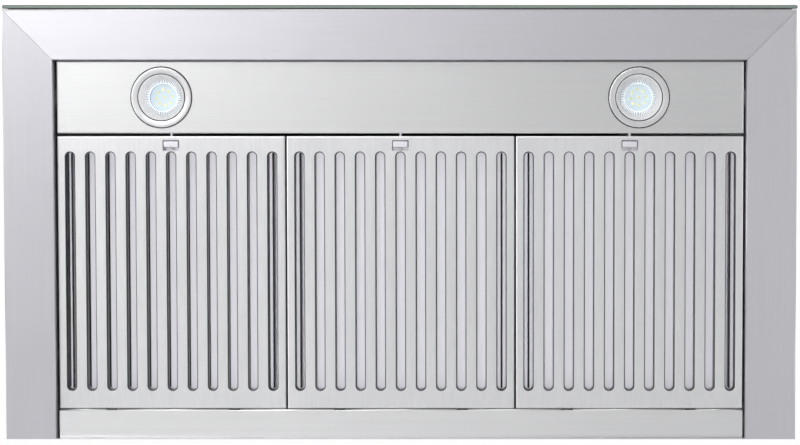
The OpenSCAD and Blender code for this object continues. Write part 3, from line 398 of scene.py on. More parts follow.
def make_finishes(colours):
    """Every finish, by name; the names of the record's slots are among them."""
    made = {
        "rail_x": brushed_steel("rail_brushed_across", colours.rail, "X"),
        # Painted shade: the side rails are a slightly darker copy of the rail steel
        "rail_y": brushed_steel("rail_brushed_along_shaded", shade(colours.rail, 0.98), "Y"),
        "rail_z": brushed_steel("canopy_brushed_upright", colours.rail, "Z"),
    }
    for make, name, *values in (
        (brushed_steel, "body_steel", colours.rail, None, 0.34),
        (brushed_steel, "panel_steel", colours.panel, "X"),
        # Painted light: the back strip is a lighter copy of the panel steel
        (brushed_steel, "strip_steel", shade(colours.panel, 1.09), "X"),
        (satin_steel, "filter_steel", colours.filter, 0.33),
        (satin_steel, "baffle_steel", colours.baffle, 0.42, 0.25),
        # Painted shade: dark steel for the slot walls and the rolled slot edges
        (satin_steel, "slot_wall", colours.shaded, 0.45),
        (satin_steel, "slot_edge", colours.edge, 0.4),
        # Painted shade: near-black steel for the channel legs and the lip ends
        (satin_steel, "channel_leg", colours.leg, 0.5),
        (satin_steel, "latch_steel", (0.84, 0.83, 0.88), 0.3, 0.8),
        (satin_steel, "spring_steel", (0.84, 0.84, 0.86), 0.45, 0.5),
        (satin_steel, "screw_steel", (0.72, 0.72, 0.74), 0.3),
        (satin_steel, "heat_sink", (0.62, 0.63, 0.65), 0.45),
        (satin_steel, "lamp_trim", (0.93, 0.93, 0.94), 0.2),
        (zinc_sheet, "zinc_sheet", colours.zinc),
        (clear_glass, "lamp_lens", colours.lens, 0.02, 1.3),
        (clear_glass, "fascia_glass", (0.90, 0.96, 0.93), 0.01, 1.5),
        (glass_edge, "glass_edge", colours.glass_edge),
        # Painted shade: a dark copy of the edge green for the chamfers
        (glass_edge, "glass_corner", shade(colours.glass_edge, 0.25)),
        (painted_metal, "lamp_ring", (0.86, 0.90, 0.94), 0.16),
        # Painted shade: the dark slopes of the lens ribs
        (painted_metal, "lamp_valley", (0.20, 0.22, 0.24), 0.3),
        (painted_metal, "lamp_funnel", (0.66, 0.66, 0.67), 0.3),
        # Painted shade: blue-grey for the wall of the recess behind the lens
        (painted_metal, "lamp_cup", (0.50, 0.62, 0.78), 0.3),
        (painted_metal, "motor_paint", (0.03, 0.03, 0.035)),
        (glowing, "lamp_board", (0.80, 0.90, 0.92), 0.2),
        (glowing, "phosphor", colours.phosphor, 0.25),
        (glowing, "print", (0.85, 0.88, 0.9), 0.1),
        (circuit_board, "circuit_board", (0.02, 0.14, 0.06)),
        (moulded_plastic, "black_plastic", (0.018, 0.018, 0.02)),
        (moulded_plastic, "grey_plastic", (0.30, 0.31, 0.33)),
        (moulded_plastic, "gasket", (0.03, 0.03, 0.03), 0.7, 300),
    ):
        made[name] = make(name, *values)
    return made


finishes = {}


# Mesh tools

def all_of(bm):
    """Every vertex, edge and face."""
    return bm.verts[:] + bm.edges[:] + bm.faces[:]


def new_verts(made):
    """The vertices among the results of a mesh operator."""
    return [part for part in made["geom"] if isinstance(part, bmesh.types.BMVert)]


def round_off(bm, geom, offset, segments, affect="EDGES"):
    """Bevels edges or corners; returns the new faces."""
    return bmesh.ops.bevel(bm, geom=geom, offset=offset, offset_type="OFFSET", segments=segments, profile=0.5,
                           affect=affect, material=-1)["faces"]


def join(bm, other):
    """Moves another mesh into bm."""
    scratch = bpy.data.meshes.new("scratch")
    other.to_mesh(scratch)
    other.free()
    bm.from_mesh(scratch)
    bpy.data.meshes.remove(scratch)


def polar(point, centre):
    """Radius and angle of a point about an upright axis."""
    dx, dy = point.x - centre[0], point.y - centre[1]
    return math.hypot(dx, dy), math.atan2(dy, dx)


def add_ring(bm, centre, half_x, half_y, radius, z, steps=4):
    """A level loop: a rectangle with round corners, a slot with round ends or a circle. Returns its edges."""
    turn = Matrix.Rotation(math.pi / (4 * steps), 4, "Z")
    made = bmesh.ops.create_circle(bm, cap_ends=False, radius=radius, segments=4 * steps, matrix=turn)
    for vert in made["verts"]:
        vert.co.x += math.copysign(half_x - radius, vert.co.x) + centre[0]
        vert.co.y += math.copysign(half_y - radius, vert.co.y) + centre[1]
        vert.co.z = z
    return list({edge for vert in made["verts"] for edge in vert.link_edges})


def bridge(bm, rings, smooth=True):
    """Faces between each ring and the next."""
    for first, second in zip(rings, rings[1:]):
        for face in bmesh.ops.bridge_loops(bm, edges=first + second)["faces"]:
            face.smooth = smooth


def fill_plate(bm, rings):
    """A flat plate between an outer loop and the loops of its holes."""
    edges = [edge for ring in rings for edge in ring]
    bmesh.ops.triangle_fill(bm, use_beauty=True, use_dissolve=False, edges=edges, normal=(0, 0, -1))


def fold_rings(bm, centre, half_x, half_y, radius, z, bend, height, inward, steps=4, arcs=4):
    """Rings of a rolled edge that turns up from a plate; inward is 1 at a hole and -1 at an outer edge."""
    least_r = 0.1 * MM
    rings = []
    for k in range(arcs + 1):
        angle = math.pi / 2 * k / arcs
        shift = bend * (1 - math.sin(angle)) * inward
        rings.append(add_ring(bm, centre, half_x + shift, half_y + shift, max(radius + shift, least_r),
                              z + bend * (1 - math.cos(angle)), steps))
    if height > bend:
        rings.append(add_ring(bm, centre, half_x, half_y, radius, z + height, steps))
    return rings


def fold_sheet(points, bends, sweep):
    """A sheet swept from a line of corners, with the outer radius of each fold between its ends."""
    bm = bmesh.new()
    corners = [bm.verts.new(point) for point in points]
    for first, second in zip(corners, corners[1:]):
        bm.edges.new((first, second))
    for corner, bend in zip(corners[1:-1], bends):
        round_off(bm, [corner], bend, 5, "VERTICES")
    made = bmesh.ops.extrude_edge_only(bm, edges=bm.edges[:])
    bmesh.ops.translate(bm, verts=new_verts(made), vec=sweep)
    for face in bm.faces:
        face.smooth = min(edge.calc_length() for edge in face.edges) < 0.6 * max(bends)
    return bm


def cut_off(bm, point, normal):
    """Cuts away what lies beyond a plane."""
    bmesh.ops.bisect_plane(bm, geom=all_of(bm), dist=1e-7, plane_co=point, plane_no=normal, clear_outer=True)


def cut_box(bm, lowest, highest):
    """Cuts away the faces inside a box."""
    for corner, sign in ((lowest, -1), (highest, 1)):
        for axis in range(3):
            normal = [0, 0, 0]
            normal[axis] = sign
            near = [face for face in bm.faces
                    if all(min(v.co[i] for v in face.verts) < highest[i] + TOUCH
                           and max(v.co[i] for v in face.verts) > lowest[i] - TOUCH for i in range(3))]
            edges = {edge for face in near for edge in face.edges}
            verts = {vert for face in near for vert in face.verts}
            bmesh.ops.bisect_plane(bm, geom=[*verts, *edges, *near], dist=1e-7, plane_co=corner,
                                   plane_no=normal)
    inside = [face for face in bm.faces
              if all(lowest[i] - TOUCH < face.calc_center_median()[i] < highest[i] + TOUCH for i in range(3))]
    bmesh.ops.delete(bm, geom=inside, context="FACES")


def thicken(bm, thickness, outward):
    """Turns the sheet's faces outwards and gives it its wall on the inside."""
    bmesh.ops.remove_doubles(bm, verts=bm.verts, dist=1e-6)
    bmesh.ops.recalc_face_normals(bm, faces=bm.faces)
    largest = max(bm.faces, key=lambda face: face.calc_area())
    if largest.normal.dot(Vector(outward)) < 0:
        bmesh.ops.reverse_faces(bm, faces=bm.faces)
    bmesh.ops.solidify(bm, geom=all_of(bm), thickness=thickness)


def add_block(bm, lowest, highest, rounding=0.0, segments=2, material=0):
    """A block between two corners, with its edges rounded."""
    middle = [(a + b) / 2 for a, b in zip(lowest, highest)]
    size = [b - a for a, b in zip(lowest, highest)]
    place = Matrix.Translation(middle) @ Matrix.Diagonal((*size, 1))
    made = bmesh.ops.create_cube(bm, size=1, matrix=place)
    faces = {face for vert in made["verts"] for face in vert.link_faces}
    for face in faces:
        face.material_index = material
    if rounding:
        edges = {edge for face in faces for edge in face.edges}
        for face in round_off(bm, list(edges), rounding, segments):
            face.smooth = True


def spin_profile(bm, points, centre, steps=64, material=0):
    """A turned piece from a closed line of (radius, height) points about an upright axis."""
    before = set(bm.faces)
    verts = [bm.verts.new((centre[0] + r, centre[1], z)) for r, z in points]
    edges = [bm.edges.new((a, b)) for a, b in zip(verts, verts[1:] + verts[:1])]
    bmesh.ops.spin(bm, geom=verts + edges, cent=(*centre, 0), axis=(0, 0, 1), angle=2 * math.pi, steps=steps,
                   use_merge=True)
    made = [face for face in bm.faces if face not in before]
    for face in made:
        face.smooth = True
        face.material_index = material
    return made


def tube(inner, outer, bottom, top):
    """Outline of a tube, for spin_profile."""
    return [(inner, bottom), (outer, bottom), (outer, top), (inner, top)]


def turn_out(bm, limit=math.radians(32)):
    """Turns the faces outwards and marks the edges that are meant to look sharp."""
    bmesh.ops.recalc_face_normals(bm, faces=bm.faces)
    for edge in bm.edges:
        if len(edge.link_faces) == 2 and edge.calc_face_angle(0.0) > limit:
            edge.smooth = False


def lay_brush_map(bm, along):
    """A map whose first axis runs across the brushing, as its highlights do."""
    layer = bm.loops.layers.uv.new("Brush")
    axis = "XYZ".index(along)
    others = [i for i in range(3) if i != axis]
    for face in bm.faces:
        for loop in face.loops:
            place = loop.vert.co
            loop[layer].uv = (place[others[0]] + 0.7 * place[others[1]], place[axis])


def make_piece(bm, name, body, surfaces, replaces=(), along=None):
    """Turns a finished mesh into a piece that rides on a body."""
    if along:
        lay_brush_map(bm, along)
    mesh = bpy.data.meshes.new(name)
    bm.to_mesh(mesh)
    bm.free()
    for surface in surfaces:
        mesh.materials.append(finishes[surface])
    piece = bpy.data.objects.new(name, mesh)
    bpy.context.collection.objects.link(piece)
    if replaces:
        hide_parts(*replaces)
    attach(piece, body)
    return piece


# Pieces

class HoodOperator(bpy.types.Operator):
    """Base of the operators."""
    bl_options = {"REGISTER", "UNDO"}

    def execute(self, context):
        self.build(context.scene)
        return {"FINISHED"}


class HOOD_OT_finishes(HoodOperator):
    """Makes the finishes and gives the carried-over nodes theirs"""
    bl_idname = "hood.make_finishes"
    bl_label = "Finishes"

    def build(self, scene):
        finishes.update(make_finishes(scene.hood_finish))
        for part in frame["record"]["subparts"]:
            node = frame["nodes"][part["node"]]
            slot = part["material_slot"]
            node.data.materials.clear()
            node.data.materials.append(finishes["body_steel" if slot == "panel_steel" else slot])


class HOOD_OT_rim(HoodOperator):
    """Makes the folded and mitred panels of the rim"""
    bl_idname = "hood.make_rim"
    bl_label = "Rim"

    def build(self, scene):
        sizes = scene.hood_sheet
        half_seam = sizes.seam / 2
        section = ((Y_STEEL + sizes.flange_w, Z_RIM), (Y_STEEL, Z_RIM), (Y_STEEL, 0), (Y_LIP, 0),
                   (Y_LIP, sizes.hem_h))
        bm = fold_sheet([(-X_OUT, y, z) for y, z in section], [sizes.bend] * 3, (2 * X_OUT, 0, 0))
        window_low, window_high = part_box("touch_board")
        cut_box(bm, (window_low.x, Y_STEEL - MM, window_low.z), (window_high.x, Y_STEEL + MM, window_high.z))
        for side in (-1, 1):
            cut_off(bm, (side * (X_OUT - half_seam), Y_STEEL, 0), (side, 1, 0))
        thicken(bm, sizes.sheet, (0, -1, 0))
        make_piece(bm, "front_rim", "hood", ["rail_x"], ["front_panel"], "X")
        for name, side in SIDES:
            section = ((X_OUT - sizes.flange_w, Z_RIM), (X_OUT, Z_RIM), (X_OUT, 0), (X_LIP, 0),
                       (X_LIP, sizes.hem_h))
            bm = fold_sheet([(side * x, Y_STEEL, z) for x, z in section], [sizes.bend] * 3,
                            (0, Y_BACK - Y_STEEL, 0))
            cut_off(bm, (side * (X_OUT + half_seam), Y_STEEL, 0), (-side, -1, 0))
            thicken(bm, sizes.sheet, (side, 0, -1))
            make_piece(bm, name + "_rim", "hood", ["rail_y"], [name + "_side_panel"], "Y")


class HOOD_OT_canopy(HoodOperator):
    """Makes the sloped canopy with its rounded corners"""
    bl_idname = "hood.make_canopy"
    bl_label = "Canopy"

    def build(self, scene):
        sizes = scene.hood_sheet
        top = low("flue_cover_lower")
        bm = bmesh.new()
        corners = [bm.verts.new((x, y, Z_RIM))
                   for x, y in ((-X_OUT, Y_BACK), (-X_OUT, Y_STEEL), (X_OUT, Y_STEEL), (X_OUT, Y_BACK))]
        for first, second in zip(corners, corners[1:]):
            bm.edges.new((first, second))
        made = bmesh.ops.extrude_edge_only(bm, edges=bm.edges[:])
        for vert in new_verts(made):
            is_rear = vert.co.y > 0
            vert.co = (math.copysign(top.x, vert.co.x), Y_BACK if is_rear else top.y, Z_CANOPY)
        slopes = [edge for edge in bm.edges if len(edge.link_faces) == 2]
        for face in round_off(bm, slopes, 2 * sizes.bend, 5):
            face.smooth = True
        thicken(bm, sizes.sheet, (0, -1, 1))
        make_piece(bm, "canopy", "hood", ["rail_z"], ["canopy_shell"], "Z")


class HOOD_OT_flue(HoodOperator):
    """Makes the two flue covers, the upper one with its vents"""
    bl_idname = "hood.make_flue"
    bl_label = "Flue covers"

    def build(self, scene):
        self.cover(scene.hood_sheet, "lower", "hood", False)
        self.cover(scene.hood_sheet, "upper", "flue_upper", True)

    def cover(self, sizes, name, body, vented):
        """One three-sided cover, open at the wall."""
        node = "flue_cover_" + name
        near, far = low(node), high(node)
        bend = 1.25 * sizes.bend
        stub = near.y + 2 * bend
        bm = fold_sheet([
            (near.x, stub, near.z), (near.x, near.y, near.z), (far.x, near.y, near.z), (far.x, stub, near.z),
        ], [bend] * 2, (0, 0, far.z - near.z))
        middle_y = (low("flue_cover_lower").y + high("back_panel").y) / 2
        for x in (near.x, far.x):
            wall = bmesh.new()
            outline = bmesh.ops.create_grid(wall, x_segments=1, y_segments=1, size=0.5)
            bmesh.ops.delete(wall, geom=wall.faces[:], context="FACES_ONLY")
            bmesh.ops.scale(wall, verts=outline["verts"], vec=(far.y - stub, far.z - near.z, 1))
            bmesh.ops.translate(wall, verts=outline["verts"],
                                vec=((far.y + stub) / 2, (far.z + near.z) / 2, 0))
            loops = [wall.edges[:]]
            half_w, half_l = sizes.vent_w / 2, sizes.vent_l / 2
            for k in range(sizes.vent_count if vented else 0):
                y = middle_y + (k - (sizes.vent_count - 1) / 2) * sizes.vent_pitch
                z = far.z - sizes.vent_edge - half_l
                loops.append(add_ring(wall, (y, z), half_w, half_l, half_w, 0))
            fill_plate(wall, loops)
            for vert in wall.verts:
                vert.co = (x, vert.co.x, vert.co.y)
            join(bm, wall)
        thicken(bm, sizes.sheet, (0, -1, 0))
        make_piece(bm, name + "_flue", body, ["rail_z"], [node], "Z")


class HOOD_OT_panels(HoodOperator):
    """Makes the light panel and the strip behind the filters"""
    bl_idname = "hood.make_panels"
    bl_label = "Light panel and back strip"

    def build(self, scene):
        self.light_panel(scene.hood_sheet, scene.hood_lamp)
        self.back_strip(scene.hood_sheet, scene.hood_filter)

    def light_panel(self, sheet, lamp):
        """Pan with two lamp holes, an opening for each latch bolt and an ear at each end."""
        middle = (0, (Y_LIGHT0 + Y_LIGHT1) / 2)
        half_y = (Y_LIGHT1 - Y_LIGHT0) / 2
        top = high("light_panel").z
        bm = bmesh.new()
        corner_r = 0.4 * MM
        outer = fold_rings(bm, middle, X_IN, half_y, corner_r, Z_PANEL, sheet.panel_bend, top - Z_PANEL, -1)
        holes = [add_ring(bm, (side * LAMP_X, LAMP_Y), lamp.body_r, lamp.body_r, lamp.body_r, Z_PANEL, 12)
                 for side in (-1, 1)]
        fill_plate(bm, [outer[0], *holes])
        bridge(bm, outer)
        half_notch = 1.65 * MM
        notch_low = Z_PANEL + 3.2 * MM
        notch_high = Z_PANEL + 7 * MM
        for _, i in FILTERS:
            x = i * FILTER_STEP
            cut_box(bm, (x - half_notch, Y_LIGHT1 - MM / 2, notch_low),
                    (x + half_notch, Y_LIGHT1 + MM, notch_high))
        thicken(bm, sheet.sheet, (0, 0, -1))
        half_ear = 9 * MM
        self.ears(bm, sheet, LAMP_Y - half_ear, LAMP_Y + half_ear, top)
        make_piece(bm, "lamp_panel", "hood", ["panel_steel"], ["light_panel"], "X")

    def back_strip(self, sheet, filters):
        """Channel with a slot for each rear tab of the filters."""
        top = high("back_strip").z
        section = ((Y_BACK, top), (Y_BACK, Z_PANEL), (Y_STRIP0, Z_PANEL), (Y_STRIP0, top))
        bm = fold_sheet([(-X_IN, y, z) for y, z in section], [sheet.rear_bend, sheet.panel_bend],
                        (2 * X_IN, 0, 0))
        room = filters.tab_w / 2 + 0.8 * MM
        slot_top = Z_PANEL + 6.9 * MM
        for _, i in FILTERS:
            for side in (-1, 1):
                x = i * FILTER_STEP + side * filters.tab_span / 2
                cut_box(bm, (x - room, Y_STRIP0 - MM, Z_PANEL - MM),
                        (x + room, Y_STRIP0 + sheet.sheet, slot_top))
        thicken(bm, sheet.sheet, (0, 0, -1))
        self.ears(bm, sheet, Y_STRIP0, Y_BACK, top)
        make_piece(bm, "rear_strip", "hood", ["strip_steel"], ["back_strip"], "X")

    def ears(self, bm, sheet, front, rear, top):
        """Level tabs that reach from the ends of a panel to the rim."""
        for side in (-1, 1):
            ends = sorted((side * (X_IN - sheet.sheet), side * X_LIP))
            add_block(bm, (ends[0], front, top - sheet.sheet), (ends[1], rear, top), CUT_EDGE)


class HOOD_OT_filters(HoodOperator):
    """Makes the three baffle filters and their latches"""
    bl_idname = "hood.make_filters"
    bl_label = "Filters"

    def build(self, scene):
        for name, i in FILTERS:
            self.face(scene.hood_filter, name, i * FILTER_STEP)
            self.channels(scene.hood_filter, name, i * FILTER_STEP)
            self.latch(scene.hood_filter, name, i * FILTER_STEP)

    def slots(self, sizes, width):
        """Places of the slots across a filter of that width, from its middle."""
        count = int((width - 2 * sizes.slot_edge - sizes.slot_w) / sizes.slot_pitch + 1e-6) + 1
        return [(k - (count - 1) / 2) * sizes.slot_pitch for k in range(count)]

    def face(self, sizes, name, x):
        """Pan with rolled slots, the opening for the finger tab and the rear tabs."""
        near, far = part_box(name + "_filter_face")
        rear = high(name + "_filter_back").y + sizes.sheet
        half_x = (far.x - near.x) / 2
        edge_y = rear + sizes.rear_reach
        half_y = (edge_y - near.y) / 2
        middle = (x, (edge_y + near.y) / 2)
        corner_r = 0.5 * MM
        slot_y0 = near.y + sizes.slot_front
        slot_y1 = rear - sizes.slot_rear
        half_w = sizes.slot_w / 2
        bm = bmesh.new()
        outer = fold_rings(bm, middle, half_x, half_y, corner_r, near.z, sizes.bend, far.z - near.z, -1)
        holes = []
        for slot_x in self.slots(sizes, 2 * half_x):
            rings = fold_rings(bm, (x + slot_x, (slot_y0 + slot_y1) / 2), half_w, (slot_y1 - slot_y0) / 2,
                               half_w, near.z, sizes.slot_roll, sizes.collar_h, 1, steps=8, arcs=6)
            bridge(bm, rings)
            holes.append(rings[0])
        # Painted shade in the slots: the steep part of each rolled edge takes the darkest steel and the
        # collar wall above it the dull steel
        painted_shade_from = 0.06 * sizes.slot_roll
        for face in bm.faces:
            height = face.calc_center_median().z - near.z
            if height > painted_shade_from:
                face.material_index = 1 if height > sizes.slot_roll else 2
        finger_rear = high(name + "_latch").y
        finger_front = finger_rear - sizes.finger_d
        gap_front, gap_side, gap_rear = 1.56 * MM, 1.2 * MM, 0.05 * MM
        opening_y = (finger_front - gap_front, finger_rear + sizes.travel + gap_rear)
        opening = fold_rings(bm, (x, sum(opening_y) / 2), sizes.finger_w / 2 + gap_side,
                             (opening_y[1] - opening_y[0]) / 2, 0.8 * MM, near.z, 0.2 * MM, sizes.sheet, 1)
        bridge(bm, opening)
        holes.append(opening[0])
        fill_plate(bm, [outer[0], *holes])
        bridge(bm, outer)
        half_notch = 1.7 * MM
        notch_low = near.z + 3.1 * MM
        notch_high = near.z + 7.2 * MM
        cut_box(bm, (x - half_notch, near.y - MM, notch_low), (x + half_notch, near.y + MM / 2, notch_high))
        thicken(bm, sizes.sheet, (0, 0, -1))
        tab_z = near.z + 4.2 * MM
        # The rear tabs take the dark slot-edge steel: painted shade where they pass into the back strip
        for side in (-1, 1):
            tab_x = x + side * sizes.tab_span / 2
            add_block(bm, (tab_x - sizes.tab_w / 2, rear - sizes.sheet, tab_z),
                      (tab_x + sizes.tab_w / 2, far.y, tab_z + MM), CUT_EDGE, 2, 2)
        make_piece(bm, name + "_slotted_face", name + "_filter",
                   ["filter_steel", "slot_wall", "slot_edge"], [name + "_filter_face"])

    def channels(self, sizes, name, x):
        """Back sheet folded into a channel over each slot, with a lip in the first and the last one."""
        near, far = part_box(name + "_filter_back")
        face_low = low(name + "_filter_face")
        slot_y0 = face_low.y + sizes.slot_front
        slot_y1 = far.y + sizes.sheet - sizes.slot_rear
        places = [x + place for place in self.slots(sizes, far.x - near.x + 2 * sizes.sheet)]
        sheet_z = far.z - sizes.sheet
        leg_z = face_low.z + sizes.sheet + sizes.leg_gap
        half_w = sizes.channel_w / 2
        fold = sizes.channel_bend
        bm = bmesh.new()
        for place in places:
            edge_left, edge_right = place - half_w, place + half_w
            start = [(near.x, slot_y0, sheet_z)]
            end = [(far.x, slot_y0, sheet_z)]
            if place != places[0]:
                start = [(edge_left, slot_y0, leg_z), (edge_left, slot_y0, sheet_z)]
            if place != places[-1]:
                end = [(edge_right, slot_y0, sheet_z), (edge_right, slot_y0, leg_z)]
            join(bm, fold_sheet(start + end, [fold] * 2, (0, slot_y1 - slot_y0, 0)))
        folds = [place + side * (half_w - fold) for place in places for side in (-1, 1)]
        edges = [near.x, *folds[1:-1], far.x]
        for y0, y1 in ((near.y, slot_y0), (slot_y1, far.y)):
            for x0, x1 in zip(edges, edges[1:]):
                band = bmesh.new()
                corners = ((x0, y0, sheet_z), (x1, y0, sheet_z), (x1, y1, sheet_z), (x0, y1, sheet_z))
                band.faces.new([band.verts.new(corner) for corner in corners])
                join(bm, band)
        thicken(bm, sizes.sheet, (0, 0, -1))
        # Painted shade: the channels' upright walls and legs take the near-black steel
        for face in bm.faces:
            if abs(face.normal.z) < 0.9:
                face.material_index = 1
        half_lip = sizes.lip_w / 2
        lip_z = face_low.z + sizes.collar_h
        y0, y1 = slot_y0 + half_lip, slot_y1 - half_lip
        top = sheet_z + sizes.sheet / 2
        for place, side in ((places[0], -1), (places[-1], 1)):
            add_block(bm, (place - half_lip, y0, lip_z), (place + half_lip, y1, top), CUT_EDGE)
            # The outer leg is near-black steel too: painted shade
            leg = sorted((place + side * half_w, place + side * (half_w - sizes.sheet)))
            add_block(bm, (leg[0], y0, leg_z), (leg[1], y1, top), 0.2 * MM, 2, 1)
        # Painted shade: the lip ends and the leg ends, which face down, take the near-black steel
        for face in bm.faces:
            if face.normal.z < -0.3 and face.calc_center_median().z < lip_z + 0.4 * MM:
                face.material_index = 1
        make_piece(bm, name + "_channels", name + "_filter", ["baffle_steel", "channel_leg"],
                   [name + "_filter_back"])

    def latch(self, sizes, name, x):
        """Slider with a finger tab and the bolt's nose, all with soft edges."""
        near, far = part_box(name + "_latch")
        slider_z = near.z + 2.1 * MM
        slider_front = Y_FILTER0 + 1.8 * MM
        finger_front = far.y - sizes.finger_d
        nose_z = (slider_z + far.z) / 2
        half_nose_x, half_nose_z = 1.3 * MM, 1.5 * MM
        bm = bmesh.new()
        # The slider takes the dull slot-wall steel: painted shade seen through the gaps round the finger tab
        add_block(bm, (near.x, slider_front, slider_z), (far.x, far.y, far.z), 0.6 * MM, 2, 1)
        add_block(bm, (x - sizes.finger_w / 2, finger_front, near.z),
                  (x + sizes.finger_w / 2, far.y, slider_z + 3 * MM), 0.7 * MM, 3)
        add_block(bm, (x - half_nose_x, near.y, nose_z - half_nose_z),
                  (x + half_nose_x, slider_front + 3 * MM, nose_z + half_nose_z), 0.5 * MM, 3)
        make_piece(bm, name + "_latch_bolt", name + "_latch_slide",
                   ["latch_steel", "slot_wall"], [name + "_latch"])


class HOOD_OT_lamps(HoodOperator):
    """Makes the trim, ribbed lens and board of light chips of each lamp"""
    bl_idname = "hood.make_lamps"
    bl_label = "Lamps"

    def build(self, scene):
        for name, side in SIDES:
            centre = (side * LAMP_X, LAMP_Y)
            self.trim(scene.hood_lamp, name, centre)
            self.lens(scene.hood_lamp, name, centre)
            self.board(scene.hood_lamp, name, centre)

    def trim(self, sizes, name, centre):
        """Turned flange with a groove, and the funnel inside it, on a dark gasket; the groove's black floor
        is painted shade, and the gasket's black also stands in for the shadow line round the flange.
        """
        near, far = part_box(name + "_lamp_bezel")
        lens_z = low(name + "_lamp_lens").z
        shelf_z = lens_z + 0.6 * MM
        mouth = sizes.mouth_r
        inner = sizes.lens_r - 0.5 * MM
        funnel_r, funnel_z = mouth - 0.9 * MM, near.z + 0.9 * MM
        funnel = [(funnel_r - (funnel_r - inner) * (k / 8) ** 0.8, funnel_z + (lens_z - funnel_z) * k / 8)
                  for k in range(9)]
        edge_r = 1.2 * MM
        quarter = [math.pi / 2 * k / 4 for k in range(5)]
        rim = [(sizes.flange_r - edge_r * (1 - math.cos(angle)), near.z + edge_r * (1 - math.sin(angle)))
               for angle in quarter]
        dish = 0.8 * MM
        groove = (mouth + 0.7 * MM, mouth + 0.7 * MM - sizes.line)
        groove_z = near.z + 1.9 * MM
        profile = [(sizes.body_r, Z_PANEL), (sizes.flange_r, Z_PANEL), *rim,
                   (groove[0] + 0.3 * MM, near.z + dish), (groove[0], near.z + dish + 0.3 * MM),
                   (groove[0], groove_z), (groove[1], groove_z), (groove[1], near.z + 1.2 * MM), *funnel,
                   (inner, shelf_z), (sizes.body_r - MM, shelf_z), (sizes.body_r - MM, far.z),
                   (sizes.body_r, far.z)]
        bm = bmesh.new()
        spin_profile(bm, profile, centre, 96)
        # The gasket is a black rubber ring, and its black also stands in for the shadow line round the flange
        edge = sizes.flange_r + sizes.line
        gasket = [(sizes.flange_r - MM, Z_PANEL - 0.02 * MM), (edge, Z_PANEL - 0.02 * MM),
                  (edge, Z_PANEL - 0.4 * MM), (edge - 0.3 * MM, Z_PANEL - 0.7 * MM),
                  (sizes.flange_r - MM, Z_PANEL - 0.7 * MM)]
        spin_profile(bm, gasket, centre, 96, 1)
        for face in bm.faces:
            place = face.calc_center_median()
            # The groove's floor takes the black gasket finish: painted shade in the groove
            if abs(place.z - groove_z) < 0.01 * MM:
                face.material_index = 1
            if polar(place, centre)[0] < groove[1] - 0.1 * MM and place.z < shelf_z:
                face.material_index = 2
        turn_out(bm)
        make_piece(bm, name + "_lamp_ring", "hood", ["lamp_trim", "gasket", "lamp_funnel"],
                   [name + "_lamp_bezel"])

    def lens(self, sizes, name, centre):
        """Clear disc in a pearly ring with radial ribs."""
        near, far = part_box(name + "_lamp_lens")
        step_z = near.z + 0.6 * MM
        clear = sizes.clear_r
        outer = sizes.body_r - MM
        bm = bmesh.new()
        spin_profile(bm, [(AXIS_R, near.z + 0.1 * MM), (clear - 0.3 * MM, near.z + 0.1 * MM),
                          (clear, near.z + 0.4 * MM), (clear, far.z), (AXIS_R, far.z)], centre, 60)
        hole = clear + 0.05 * MM
        ring = [(hole, far.z), (hole, near.z + 0.4 * MM), (clear + 0.5 * MM, near.z),
                (clear + 1.2 * MM, near.z), (sizes.lens_r - MM, near.z), (sizes.lens_r - 0.2 * MM, step_z),
                (outer, step_z), (outer, far.z)]
        ribbed = spin_profile(bm, ring, centre, 2 * sizes.ribs, 1)
        sector = math.pi / sizes.ribs
        rib_h = 0.5 * MM
        for vert in {vert for face in ribbed for vert in face.verts}:
            radius, angle = polar(vert.co, centre)
            is_on_rib = clear + MM < radius < sizes.lens_r - 0.5 * MM and vert.co.z < step_z - 0.1 * MM
            if is_on_rib and round(angle / sector + 1000) % 2:
                vert.co.z += rib_h
        # Painted shade: every other rib slope takes a dark finish, so the ribs show as dashes
        for face in ribbed:
            face.smooth = False
            place = face.calc_center_median()
            radius, angle = polar(place, centre)
            if radius > clear + 1.2 * MM and place.z < step_z and math.floor(angle / sector + 1000) % 2:
                face.material_index = 2
        turn_out(bm)
        make_piece(bm, name + "_lens", "hood", ["lamp_lens", "lamp_ring", "lamp_valley"],
                   [name + "_lamp_lens"])

    def board(self, sizes, name, centre):
        """Pale board with its light chips."""
        near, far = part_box(name + "_lamp_board")
        board_z = near.z + 0.8 * MM
        radius = (far.x - near.x) / 2
        bm = bmesh.new()
        spin_profile(bm, [(AXIS_R, board_z), (radius - 0.3 * MM, board_z), (radius, board_z + 0.3 * MM),
                          (radius, far.z), (AXIS_R, far.z)], centre, 48)
        # A blue-grey wall round the clear disc: painted shade in the recess behind the lens
        cup_z = high(name + "_lamp_lens").z + 0.05 * MM
        cup = sizes.clear_r + 0.1 * MM
        spin_profile(bm, tube(cup, cup + 0.6 * MM, cup_z, board_z - 0.05 * MM), centre, 48, 3)
        angles = [2 * math.pi * k / sizes.chips + sizes.chip_turn for k in range(sizes.chips)]
        places = [centre] + [(centre[0] + sizes.ring_r * math.cos(angle),
                              centre[1] + sizes.ring_r * math.sin(angle)) for angle in angles]
        half = sizes.chip / 2
        glow = 0.86 * half
        for x, y in places:
            add_block(bm, (x - half, y - half, near.z + 0.1 * MM), (x + half, y + half, board_z + 0.2 * MM),
                      0.2 * MM, 1, 1)
            add_block(bm, (x - glow, y - glow, near.z), (x + glow, y + glow, near.z + 0.3 * MM),
                      0.05 * MM, 1, 2)
        turn_out(bm)
        make_piece(bm, name + "_chip_board", "hood",
                   ["lamp_board", "lamp_board", "phosphor", "lamp_cup"], [name + "_lamp_board"])


